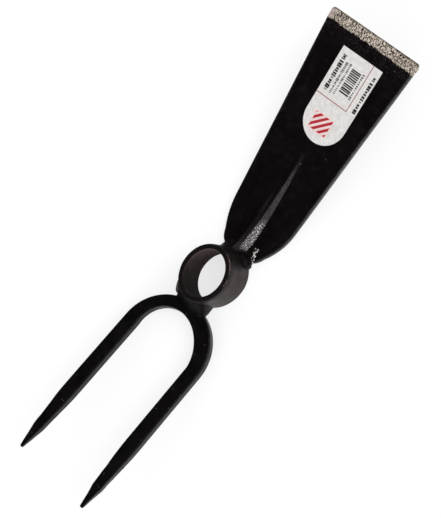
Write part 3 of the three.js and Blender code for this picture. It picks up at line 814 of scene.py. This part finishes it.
# Sweeps a rounded flat along a path that carries its own outward and upward directions and half sizes, then
# beats small flats into it
def sweepTree():
    tree, add, start = newTree("forgedBar", "Path", fork["treeInputs"], "Bar")
    place = add("GeometryNodeInputPosition")[0]
    path = add("GeometryNodeMeshToCurve", {0: start["Path"]})[0]
    path = add("GeometryNodeStoreNamedAttribute", {
        "Geometry": path, "Name": "centre", "Value": place}, data_type="FLOAT_VECTOR")[0]
    flat = add("GeometryNodeCurvePrimitiveQuadrilateral", {"Width": 2.0, "Height": 2.0})[0]
    flat = add("GeometryNodeFilletCurve", {
        "Curve": flat, "Radius": start["Corner share"], "Limit Radius": True, "Count": start["Corner steps"]},
        mode="POLY")[0]
    flat = add("GeometryNodeResampleCurve", {"Curve": flat, "Count": start["Ring points"]})[0]
    flat = add("GeometryNodeStoreNamedAttribute", {
        "Geometry": flat, "Name": "section", "Value": place}, data_type="FLOAT_VECTOR")[0]
    bar = add("GeometryNodeCurveToMesh", {"Curve": path, "Profile Curve": flat, "Fill Caps": True})[0]
    named = {name: add("GeometryNodeInputNamedAttribute", {"Name": name}, data_type=kind)[0]
             for name, kind in sweepLayers.items()}
    out, up = add("SeparateXYZ", {0: named["section"]})[:2]
    # first the section is set out round its centre, then a share of the hammering is added the same way
    grain = add("Math", {0: 1.0, 1: start["Hammer size"]}, operation="DIVIDE")[0]
    grain = add("TexNoise", {"Vector": place, "Scale": grain, **fork["hammerNoise"]})["Fac"]
    grain = add("Math", {0: grain, 1: fork["hammerLevel"]}, operation="SUBTRACT")[0]
    blow = add("Math", {0: start["Hammer depth"], 1: named["beaten"]}, operation="MULTIPLY")[0]
    blow = add("Math", {0: grain, 1: blow}, operation="MULTIPLY")[0]
    for socket, wide, deep in (("Position", named["halfWidth"], named["halfDepth"]), ("Offset", blow, blow)):
        wide = add("Math", {0: out, 1: wide}, operation="MULTIPLY")[0]
        deep = add("Math", {0: up, 1: deep}, operation="MULTIPLY")[0]
        wide = add("VectorMath", {0: named["outward"], "Scale": wide}, operation="SCALE")[0]
        deep = add("VectorMath", {0: named["upward"], "Scale": deep}, operation="SCALE")[0]
        move = add("VectorMath", {0: wide, 1: deep}, operation="ADD")[0]
        if socket == "Position":
            move = add("VectorMath", {0: move, 1: named["centre"]}, operation="ADD")[0]
        bar = add("GeometryNodeSetPosition", {"Geometry": bar, socket: move})[0]
    edge = add("Math", {0: out, 1: up}, operation="MULTIPLY")[0]
    edge = add("Math", {0: edge}, operation="ABSOLUTE")[0]
    bar = add("GeometryNodeStoreNamedAttribute", {
        "Geometry": bar, "Name": "wear", "Value": edge}, data_type="FLOAT")[0]
    return endTree(tree, add, start, bar, "Bar")


def buildFork():
    turn = Matrix.Rotation(-math.radians(fork["rise"]), 3, "X")
    stations = forkLeg(1)[::-1] + forkCrown() + forkLeg(-1)
    centres, outward, upward = [], [], []
    for x, y, angle, *_ in stations:
        centres.append((turn @ Vector((x, y, 0)) + Vector((0, 0, fork["footHeight"]))) * metresPerMm)
        outward.append(turn @ Vector((math.cos(angle), math.sin(angle), 0)))
        upward.append(turn @ Vector((0, 0, 1)))
    path = pathOf("forkPath", centres)
    setAttribute(path, "outward", outward, "FLOAT_VECTOR")
    setAttribute(path, "upward", upward, "FLOAT_VECTOR")
    half = metresPerMm / 2
    for column, name, unit in ((3, "halfWidth", half), (4, "halfDepth", half), (5, "beaten", 1)):
        setAttribute(path, name, [station[column] * unit for station in stations])
    mesh = grownMesh("fork_bar_skin", path, sweepTree(), {**fork["treeInputs"], "Finish": forkPaint})
    for name in sweepLayers:
        if name in mesh.attributes:
            mesh.attributes.remove(mesh.attributes[name])
    addPiece(tidyMesh(mesh, mergeMm=0.0005, crease=50), forkPaint, ["fork_bar"])


buildFork()
print("fork made")

# Welds

weld = {
    "voxelMm": 0.42, "growMm": 0.3, "shrinkShare": 0.4, "filletTurns": 60, "smoothTurns": 8, "relax": 0.5,
    "sinkMm": 0.52, "seam": (0.25, 1.7),
    "trimMm": {"blade_weld_right": 1.0, "blade_weld_left": 0.5, "fork_weld_top": 0.3},
    "lumpMm": 3.2, "lumpDepth": 0.2, "fineMm": 1.2, "fineDepth": 0.05,
    # how the neck's weld thins out on the bar: ramps from the eye and from the bar, and depth. Its lower
    # corners thin out on the eye: ramp in degrees, height and depth
    "toe": (4.0, 4.5), "toeNear": (4, -2), "toeSink": 1.5,
    "corner": (24.0, 20.0), "cornerTop": 11.0, "cornerSink": 2.8,
    # and how the blade's fillets do on the eye: degrees from its middle line, left and right, and depth
    "sideFrom": (28.0, 36.0), "sideOver": 8.0, "sideSink": 1.4,
    "nearY": (-37.0, 31.0), "mergeMm": 0.001, "beadSink": 0.55,
    # the inputs of the beads' tree, lengths in metres
    "treeInputs": {
        "Pitch": 1.7 * metresPerMm, "Size": [r * metresPerMm for r in (2.1, 1.5, 0.95)],
        "Unevenness": 0.12, "Seed": 3},
    # which part of the welded middle belongs to which weld: lowest and highest corner of its box
    "parts": {
        "fork_weld_top": ((-23, -35, 0), (23, -3, 24)), "fork_weld_under": ((-23, -35, 0), (23, -3, 24)),
        "blade_weld_right": ((0, 4, 1.5), (23, 29, 15)), "blade_weld_left": ((-23, 4, 1.5), (0, 29, 15)),
        "blade_weld_under": ((-14, 10, 0), (14, 26, 1.5)),
    },
    # seams that show their beads: points pulled onto the surface of the weld that they belong to
    "seams": [
        ("blade_weld_right", [(6.0, 22.5, 6.5), (9.5, 21.0, 6.2), (12.2, 18.6, 5.6)]),
        ("blade_weld_left", [(-5.6, 22.6, 6.2), (-8.2, 21.8, 6.2), (-9.3, 21.1, 6.0)]),
        ("fork_weld_top", [
            (-14.5, -15.5, 16.5), (-12.0, -18.5, 17.0), (-6.0, -21.5, 17.5), (1.0, -21.8, 17.5),
            (7.5, -19.5, 17.0)]),
    ],
}


# Lays overlapping flattened drops along a seam, as a welder's rod leaves them
def beadTree():
    tree, add, start = newTree("stackedBeads", "Seam", weld["treeInputs"], "Beads")
    path = add("GeometryNodeMeshToCurve", {0: start["Seam"]})[0]
    spaced = add("GeometryNodeCurveToPoints", {0: path, "Length": start["Pitch"]}, mode="LENGTH")
    up = add("GeometryNodeInputNamedAttribute", {"Name": "outOfSeam"}, data_type="FLOAT_VECTOR")[0]
    turn = add("FunctionNodeAlignRotationToVector", {"Vector": up}, axis="Z")[0]
    turn = add("FunctionNodeAlignRotationToVector", {
        "Rotation": turn, "Vector": spaced["Tangent"]}, axis="Y", pivot_axis="Z")[0]
    low = add("Math", {0: 1.0, 1: start["Unevenness"]}, operation="SUBTRACT")[0]
    high = add("Math", {0: 1.0, 1: start["Unevenness"]}, operation="ADD")[0]
    size = add("FunctionNodeRandomValue", {2: low, 3: high, "Seed": start["Seed"]}, data_type="FLOAT")[1]
    size = add("VectorMath", {0: start["Size"], "Scale": size}, operation="SCALE")[0]
    drop = add("GeometryNodeMeshIcoSphere", {"Radius": 1.0, "Subdivisions": 3})[0]
    drops = add("GeometryNodeInstanceOnPoints", {
        "Points": spaced["Points"], "Instance": drop, "Rotation": turn, "Scale": size})[0]
    return endTree(tree, add, start, drops, "Beads")


# A node's solid with its doubles merged
def mergedCopy(node):
    work = opened(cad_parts[node].data)
    bmesh.ops.remove_doubles(work, verts=work.verts, dist=weld["mergeMm"] * metresPerMm)
    bmesh.ops.recalc_face_normals(work, faces=work.faces)
    return work


# Cuts a closed mesh by a plane, drops what is in front of it and closes the cut
def cutClosed(work, point, normal):
    everything = work.verts[:] + work.edges[:] + work.faces[:]
    place = Vector(point) * metresPerMm
    bmesh.ops.bisect_plane(work, geom=everything, plane_co=place, plane_no=normal, clear_outer=True)
    bmesh.ops.holes_fill(work, edges=[e for e in work.edges if e.is_boundary], sides=0)
    splitWideFaces(work)


# The cuts leave crumbs: all but the largest shell go
def keepLargestShell(work):
    shells = []
    unseen = set(work.faces)
    while unseen:
        shell = [unseen.pop()]
        for face in shell:
            near = {other for edge in face.edges for other in edge.link_faces} & unseen
            unseen -= near
            shell += near
        shells.append(shell)
    shells.sort(key=len)
    bmesh.ops.delete(work, geom=[f for shell in shells[:-1] for f in shell], context="FACES")


def surfaceOf(nodes):
    vertices, faces = [], []
    for node in nodes:
        work = mergedCopy(node)
        first = len(vertices)
        vertices += [v.co.copy() for v in work.verts]
        faces += [[first + v.index for v in f.verts] for f in work.faces]
        work.free()
    return BVHTree.FromPolygons(vertices, faces)


def distancesMm(surface, points):
    return np.array([surface.find_nearest(Vector(p))[3] for p in points]) / metresPerMm


def seamBeads():
    tree = beadTree()
    meshes = []
    for node, points in weld["seams"]:
        surface = surfaceOf([node])
        places, normals = [], []
        for p in points:
            at, normal, _, _ = surface.find_nearest(Vector(p) * metresPerMm)
            places.append(at - normal * weld["beadSink"] * metresPerMm)
            normals.append(normal)
        path = pathOf("seam", places)
        setAttribute(path, "outOfSeam", normals, "FLOAT_VECTOR")
        seed = weld["treeInputs"]["Seed"] + len(meshes)
        inputs = {**weld["treeInputs"], "Seed": seed, "Finish": weldPaint}
        meshes.append(grownMesh("seamBeads", path, tree, inputs))
    return meshes


# One closed skin round the shells of a mesh, its corners run smooth
def runTogether(work, turns):
    source = linkedObject("weldedMiddle", closed(work, bpy.data.meshes.new("weldedMiddle")))
    remesh = source.modifiers.new("close", "REMESH")
    remesh.mode = "VOXEL"
    remesh.voxel_size = weld["voxelMm"] * metresPerMm
    relax = source.modifiers.new("relax", "SMOOTH")
    relax.factor = weld["relax"]
    relax.iterations = turns
    return bakedMesh(source, "weldedMiddle")


# The welded middle of the hoe in one skin: forgings and welds run together, then the beads on them.
# Away from a seam it sinks under the forgings, so each weld shows only where metal was laid
def weldedMiddle():
    welds = list(weld["parts"])
    low, high = weld["nearY"]
    work = bmesh.new()
    for node in ["eye_collar", "fork_bar", "blade"] + welds:
        one = mergedCopy(node)
        grow = weld["growMm"] - weld["trimMm"].get(node, 0.0)
        for v in one.verts:
            v.normal_update()
        for v in one.verts:
            v.co += v.normal * grow * metresPerMm
        cutClosed(one, (0, high, 0), (0, 1, 0))
        cutClosed(one, (0, low, 0), (0, -1, 0))
        part = closed(one, bpy.data.meshes.new(node))
        work.from_mesh(part)
        bpy.data.meshes.remove(part)
    base = runTogether(work, weld["filletTurns"])
    work = bmesh.new()
    for part in [base] + seamBeads():
        work.from_mesh(part)
        bpy.data.meshes.remove(part)
    mesh = runTogether(work, weld["smoothTurns"])
    at, normal = np.zeros((2, len(mesh.vertices) * 3), np.float32)
    mesh.vertices.foreach_get("co", at)
    mesh.vertices.foreach_get("normal", normal)
    at = at.reshape(-1, 3).astype(float)
    normal = normal.reshape(-1, 3).astype(float)
    fromWeld = distancesMm(surfaceOf(welds), at)
    fromEye = distancesMm(surfaceOf(["eye_collar"]), at)
    fromArms = distancesMm(surfaceOf(["blade", "fork_bar"]), at)
    away = np.minimum(fromWeld, np.maximum(fromEye, fromArms))
    share = ramp(away - weld["growMm"], weld["seam"])
    rough = lumps(at / metresPerMm, weld["lumpMm"], seed=21) * weld["lumpDepth"]
    rough += lumps(at / metresPerMm, weld["fineMm"], seed=22) * weld["fineDepth"]
    push = (1 - share) * (rough - weld["growMm"] * weld["shrinkShare"]) - share * weld["sinkMm"]
    # the neck's weld runs out on the bar, and its lower corners on the eye's wall
    toe = ramp(fromEye, weld["toe"]) * ramp(fromArms, weld["toeNear"])
    push -= toe * weld["toeSink"] * (at[:, 1] < 0)
    turn = np.degrees(np.arctan2(np.abs(at[:, 0]), -at[:, 1]))
    top = weld["cornerTop"]
    corner = ramp(turn, weld["corner"]) * ramp(at[:, 2] / metresPerMm, (top, -top))
    push -= corner * weld["cornerSink"] * (at[:, 1] < 0)
    # the blade's fillets run out on the eye's wall too
    side = np.degrees(np.arctan2(np.abs(at[:, 0]), at[:, 1]))
    sideFrom = np.where(at[:, 0] < 0, *weld["sideFrom"])
    push -= ramp(side, (sideFrom, weld["sideOver"])) * weld["sideSink"] * (at[:, 1] > 0)
    at += normal * push[:, None] * metresPerMm
    at[:, 2] = np.maximum(at[:, 2], 0.0)
    mesh.vertices.foreach_set("co", at.astype(np.float32).ravel())
    mesh.update()
    return mesh


def buildWelds():
    whole = weldedMiddle()
    slope = math.radians(fork["rise"])
    for node, (low, high) in weld["parts"].items():
        work = opened(whole)
        for axis in np.eye(3):
            cutClosed(work, high, axis)
            cutClosed(work, low, -axis)
        if node.startswith("fork"):
            side = -1 if node.endswith("top") else 1
            cutClosed(work, (0, 0, fork["footHeight"]), (0, side * math.sin(slope), side * math.cos(slope)))
        keepLargestShell(work)
        mesh = closed(work, bpy.data.meshes.new(node + "_skin"))
        addPiece(tidyMesh(mesh, mergeMm=0.0002, crease=180), weldPaint, [node])
    bpy.data.meshes.remove(whole)


buildWelds()
print("welds made")

# Label

label = {
    "width": 30.3, "length": 58.0, "edgeSetback": 15.3, "offset": 2.35, "thickness": 0.12, "clearance": 0.05,
    "columns": 76, "rows": 146, "leastReach": 0.02,
    # the first share of the rows is even and takes up this share of the length; the others crowd
    "evenRows": 0.6, "evenLength": 0.72,
    # how far the border lifts, how far in, and where: the size and level of its noise
    "liftMm": 0.18, "liftReach": 2.5, "liftLumpMm": 9.0, "liftLevel": 0.35,
}


def buildLabel():
    half = label["width"] / 2
    squareAt = blade["reach"] - label["edgeSetback"]
    share = np.linspace(0, 1, label["rows"])
    # rows crowd towards the round end, where the sides turn in
    even, reached = label["evenRows"], label["evenLength"]
    crowded = reached + (1 - reached) * np.sin((share - even) / (1 - even) * math.pi / 2)
    down = np.where(share < even, share * (reached / even), crowded) * label["length"]
    across = np.linspace(-1, 1, label["columns"])
    rise = math.radians(blade["rise"])
    offset = label["offset"]
    acrossPaper = label["thickness"] * np.array([0, -math.sin(rise), math.cos(rise)])
    straight = label["length"] - half
    top, bottom, where = [], [], []
    for d in down:
        over = max(0.0, d - straight)
        reach = max(math.sqrt(max(0.0, half ** 2 - over ** 2)), label["leastReach"])
        x = across * reach
        y = np.full(len(x), squareAt - d * math.cos(rise))
        # the paper's border stands a little off the paint
        fromSide = half - np.hypot(x, over)
        fromSide = np.minimum(fromSide, d) if d < half else fromSide
        lift = clamp01(lumps(np.stack([x, y, y * 0], -1), label["liftLumpMm"], seed=31) + label["liftLevel"])
        lift = lift * label["liftMm"] * (1 - smooth(fromSide / label["liftReach"]))
        z = bladeTop(y) + bladeWave(x + offset, y) + label["clearance"] + lift
        bottom.append(np.stack([x + offset, y, z], -1))
        top.append(bottom[-1] + acrossPaper)
        where.append(np.stack([x, np.full(len(x), d)], -1))
    rows, columns = label["rows"], label["columns"]
    points = np.concatenate([np.array(top).reshape(-1, 3), np.array(bottom).reshape(-1, 3)])
    where = np.concatenate([np.array(where).reshape(-1, 2)] * 2)
    count = rows * columns
    sheet = gridFaces(rows, columns, joinedColumns=False)
    faces = [tuple(reversed(f)) for f in sheet] + [tuple(count + i for i in f) for f in sheet]
    border = [r * columns for r in range(rows)] + [(rows - 1) * columns + c for c in range(1, columns)]
    border += [r * columns + columns - 1 for r in range(rows - 2, -1, -1)] + list(range(columns - 2, 0, -1))
    for i, a in enumerate(border):
        b = border[(i + 1) % len(border)]
        faces.append((a, b, count + b, count + a))
    mesh = meshOf("paper_label_skin", points, faces)
    layer = mesh.uv_layers.new(name="labelMm")
    corners = np.array([loop.vertex_index for loop in mesh.loops])
    layer.data.foreach_set("uv", (where[corners] / labelPrint["mapUnit"]).astype(np.float32).ravel())
    addPiece(tidyMesh(mesh, mergeMm=0.0005, crease=60), labelPaper, ["paper_label"])


buildLabel()
print("label made")

# Spatter

spatter = {
    # where it fell, beside the rib's foot: the corners of a box, and a band across it
    "low": (6.0, 21.0, 2.0), "high": (14.5, 29.8, 14.0), "from": (9.0, 29.6), "to": (11.2, 21.8),
    "halfWidth": 1.2, "steepest": 0.15, "dentDetail": 1.0,
    # the inputs of the spatter's tree, lengths in metres and drops per square metre
    "treeInputs": {
        "Density": 2000000.0, "Spacing": 0.75 * metresPerMm, "Smallest": 0.25 * metresPerMm,
        "Largest": 0.68 * metresPerMm, "Flattening": 0.75, "Dent size": 0.6 * metresPerMm,
        "Dent depth": 0.5 * metresPerMm, "Seed": 4},
}


# Scatters small frozen drops of weld metal over a patch of surface and dents them
def spatterTree():
    tree, add, start = newTree("weldSpatter", "Patch", spatter["treeInputs"], "Drops")
    scatter = add("GeometryNodeDistributePointsOnFaces", {
        "Mesh": start["Patch"], "Distance Min": start["Spacing"], "Density Max": start["Density"],
        "Seed": start["Seed"]}, distribute_method="POISSON")
    ball = add("GeometryNodeMeshIcoSphere", {"Radius": 1.0, "Subdivisions": 3})[0]
    size = add("FunctionNodeRandomValue", {
        2: start["Smallest"], 3: start["Largest"], "Seed": start["Seed"]}, data_type="FLOAT")[1]
    flat = add("Math", {0: size, 1: start["Flattening"]}, operation="MULTIPLY")[0]
    shape = add("CombineXYZ", {0: size, 1: size, 2: flat})[0]
    drops = add("GeometryNodeInstanceOnPoints", {
        "Points": scatter["Points"], "Instance": ball, "Rotation": scatter["Rotation"], "Scale": shape})[0]
    made = add("GeometryNodeRealizeInstances", {0: drops})[0]
    dents = add("Math", {0: 1.0, 1: start["Dent size"]}, operation="DIVIDE")[0]
    dents = add("TexNoise", {
        "Vector": add("GeometryNodeInputPosition")[0], "Scale": dents,
        "Detail": spatter["dentDetail"]})["Fac"]
    dents = add("Math", {0: dents, 1: 0.5}, operation="SUBTRACT")[0]
    dents = add("Math", {0: dents, 1: start["Dent depth"]}, operation="MULTIPLY")[0]
    move = add("VectorMath", {0: add("GeometryNodeInputNormal")[0], "Scale": dents}, operation="SCALE")[0]
    made = add("GeometryNodeSetPosition", {"Geometry": made, "Offset": move})[0]
    return endTree(tree, add, start, made, "Drops")


# The upward faces of some pieces along a band within a box, as a mesh
def patchOf(names, look):
    vertices, faces = [], []
    low, high = look["low"], look["high"]
    start, end = Vector(look["from"]), Vector(look["to"])
    across = Vector((end.y - start.y, start.x - end.x)).normalized()
    for name in names:
        mesh = bpy.data.objects[name].data
        for face in mesh.polygons:
            centre = face.center / metresPerMm
            inside = all(low[i] <= centre[i] <= high[i] for i in range(3))
            offBand = abs((centre.xy - start).dot(across))
            if inside and offBand < look["halfWidth"] and face.normal.z > look["steepest"]:
                first = len(vertices)
                vertices += [mesh.vertices[v].co.copy() for v in face.vertices]
                faces.append(tuple(range(first, len(vertices))))
    patch = bpy.data.meshes.new("spatterPatch")
    patch.from_pydata(vertices, [], faces)
    return patch


def buildSpatter():
    patch = patchOf(["blade_weld_right_skin", "blade_skin"], spatter)
    mesh = grownMesh("weld_spatter", patch, spatterTree(), {**spatter["treeInputs"], "Finish": spatterSteelAndGlint})
    addPiece(tidyMesh(mesh, mergeMm=0.0001, crease=180), spatterSteelAndGlint)


buildSpatter()
print("spatter made")

# Floor, lights and camera

studio = {
    "floorHalf": 4.0, "floorDrop": 0.3, "floorColor": "#fafafa", "floorGlow": 0.72,
    # what a shiny surface sees round the floor, overhead and on the flagged left side, and the fill light
    "horizon": 1.0, "overhead": 0.03, "flagged": 0.05, "fill": 0.66,
    # the heights, as shares of straight up, that the backdrop fades between
    "backdropFades": (0.22, 0.5),
    # where along X, in metres, the floor leaves the flag's dark, and the same for the backdrop's direction
    "floorFlag": (-0.08, -0.01), "sideFlag": (-0.55, -0.15),
    # direction towards the lamp, distance and side in metres, power in watts
    "lamps": [
        ((0.55, 0.45, 0.70), 2.0, 1.3, 21.0), ((0.35, -0.85, 0.40), 2.0, 1.2, 14.0),
        ((-0.50, 0.75, 0.43), 2.2, 1.2, 8.0),
    ],
}


def buildFloor():
    half, z = studio["floorHalf"], -studio["floorDrop"] * metresPerMm
    mesh = bpy.data.meshes.new("floor")
    corners = [(-half, -half, z), (half, -half, z), (half, half, z), (-half, half, z)]
    mesh.from_pydata(corners, [], [(0, 1, 2, 3)])
    linkedObject("floor", mesh)
    # pale matt board that keeps the shadow and looks nearly white to the camera and in gloss
    material, add = newMaterial("paleMattBoard")
    matt = add("BsdfDiffuse", {"Color": linear(studio["floorColor"])})[0]
    glow = add("Emission", {"Color": (1, 1, 1, 1), "Strength": 1.0})[0]
    ray = add("LightPath")
    place = add("NewGeometry")["Position"]
    place = add("SeparateXYZ", {0: place})[0]
    dark, clear = studio["floorFlag"]
    gloss = add("MapRange", {0: place, 1: dark, 2: clear, 3: studio["flagged"], 4: 1.0})[0]
    gloss = add("Math", {0: ray["Is Glossy Ray"], 1: gloss}, operation="MULTIPLY")[0]
    seen = add("Math", {0: ray["Is Camera Ray"], 1: gloss}, operation="MAXIMUM")[0]
    seen = add("Math", {0: seen, 1: ray["Is Transmission Ray"]}, operation="MAXIMUM")[0]
    seen = add("Math", {0: seen, 1: studio["floorGlow"]}, operation="MULTIPLY")[0]
    both = add("MixShader", {0: seen, 1: matt, 2: glow})[0]
    add("OutputMaterial", {"Surface": both})
    mesh.materials.append(material)


# White to the camera. Gloss sees a pale backdrop round the floor, a dark ceiling, and a black flag on
# the left
def buildWorld():
    world = bpy.data.worlds.new("studio")
    bpy.context.scene.world = world
    world.use_nodes = True
    world.node_tree.nodes.clear()
    add = functools.partial(addNode, world.node_tree)
    ray = add("LightPath")
    side, _, height = add("SeparateXYZ", {0: add("TexCoord")["Generated"]})
    height = add("Math", {0: height}, operation="ABSOLUTE")[0]
    low, high = studio["backdropFades"]
    level = add("MapRange", {0: height, 1: low, 2: high, 3: studio["horizon"], 4: studio["overhead"]})[0]
    dark, clear = studio["sideFlag"]
    flag = add("MapRange", {0: side, 1: dark, 2: clear, 3: studio["flagged"], 4: 1.0})[0]
    level = add("Math", {0: level, 1: flag}, operation="MULTIPLY")[0]
    shiny = add("Math", {0: ray["Is Glossy Ray"], 1: ray["Is Transmission Ray"]}, operation="MAXIMUM")[0]
    level = add("Mix", {0: shiny, 2: studio["fill"], 3: level})[0]
    level = add("Mix", {0: ray["Is Camera Ray"], 2: level, 3: 1.0})[0]
    back = add("Background", {"Color": (1, 1, 1, 1), "Strength": level})[0]
    add("OutputWorld", {"Surface": back})


def buildLamps():
    for index, (direction, distance, side, power) in enumerate(studio["lamps"]):
        light = bpy.data.lights.new("softbox%d" % index, "AREA")
        light.shape = "SQUARE"
        light.size = side
        light.energy = power
        lamp = linkedObject(light.name, light)
        towards = Vector(direction).normalized()
        lamp.location = towards * distance
        lamp.rotation_mode = "QUATERNION"
        lamp.rotation_quaternion = towards.to_track_quat("Z", "Y")


# Where the photographer stood, in the hoe's own frame
view = {
    "place": (0.300607, 0.114346, 0.707571), "right": (0.70198, 0.59343, -0.39379),
    "up": (-0.59212, 0.79354, 0.14031), "back": (0.39575, 0.13468, 0.90843),
    "focalPixels": 1240.8, "framePixels": 518, "sensorMm": 36.0, "clip": (0.05, 20),
}


def buildCamera():
    data = bpy.data.cameras.new("camera")
    data.sensor_width = view["sensorMm"]
    data.sensor_fit = "AUTO"
    data.lens = view["focalPixels"] * view["sensorMm"] / view["framePixels"]
    data.clip_start, data.clip_end = view["clip"]
    camera = linkedObject("camera", data)
    turn = Matrix((view["right"], view["up"], view["back"])).transposed()
    camera.matrix_world = Matrix.Translation(view["place"]) @ turn.to_4x4()
    bpy.context.scene.camera = camera


buildFloor()
buildWorld()
buildLamps()
buildCamera()
bpy.context.scene.view_settings.view_transform = "Standard"
print("studio made")
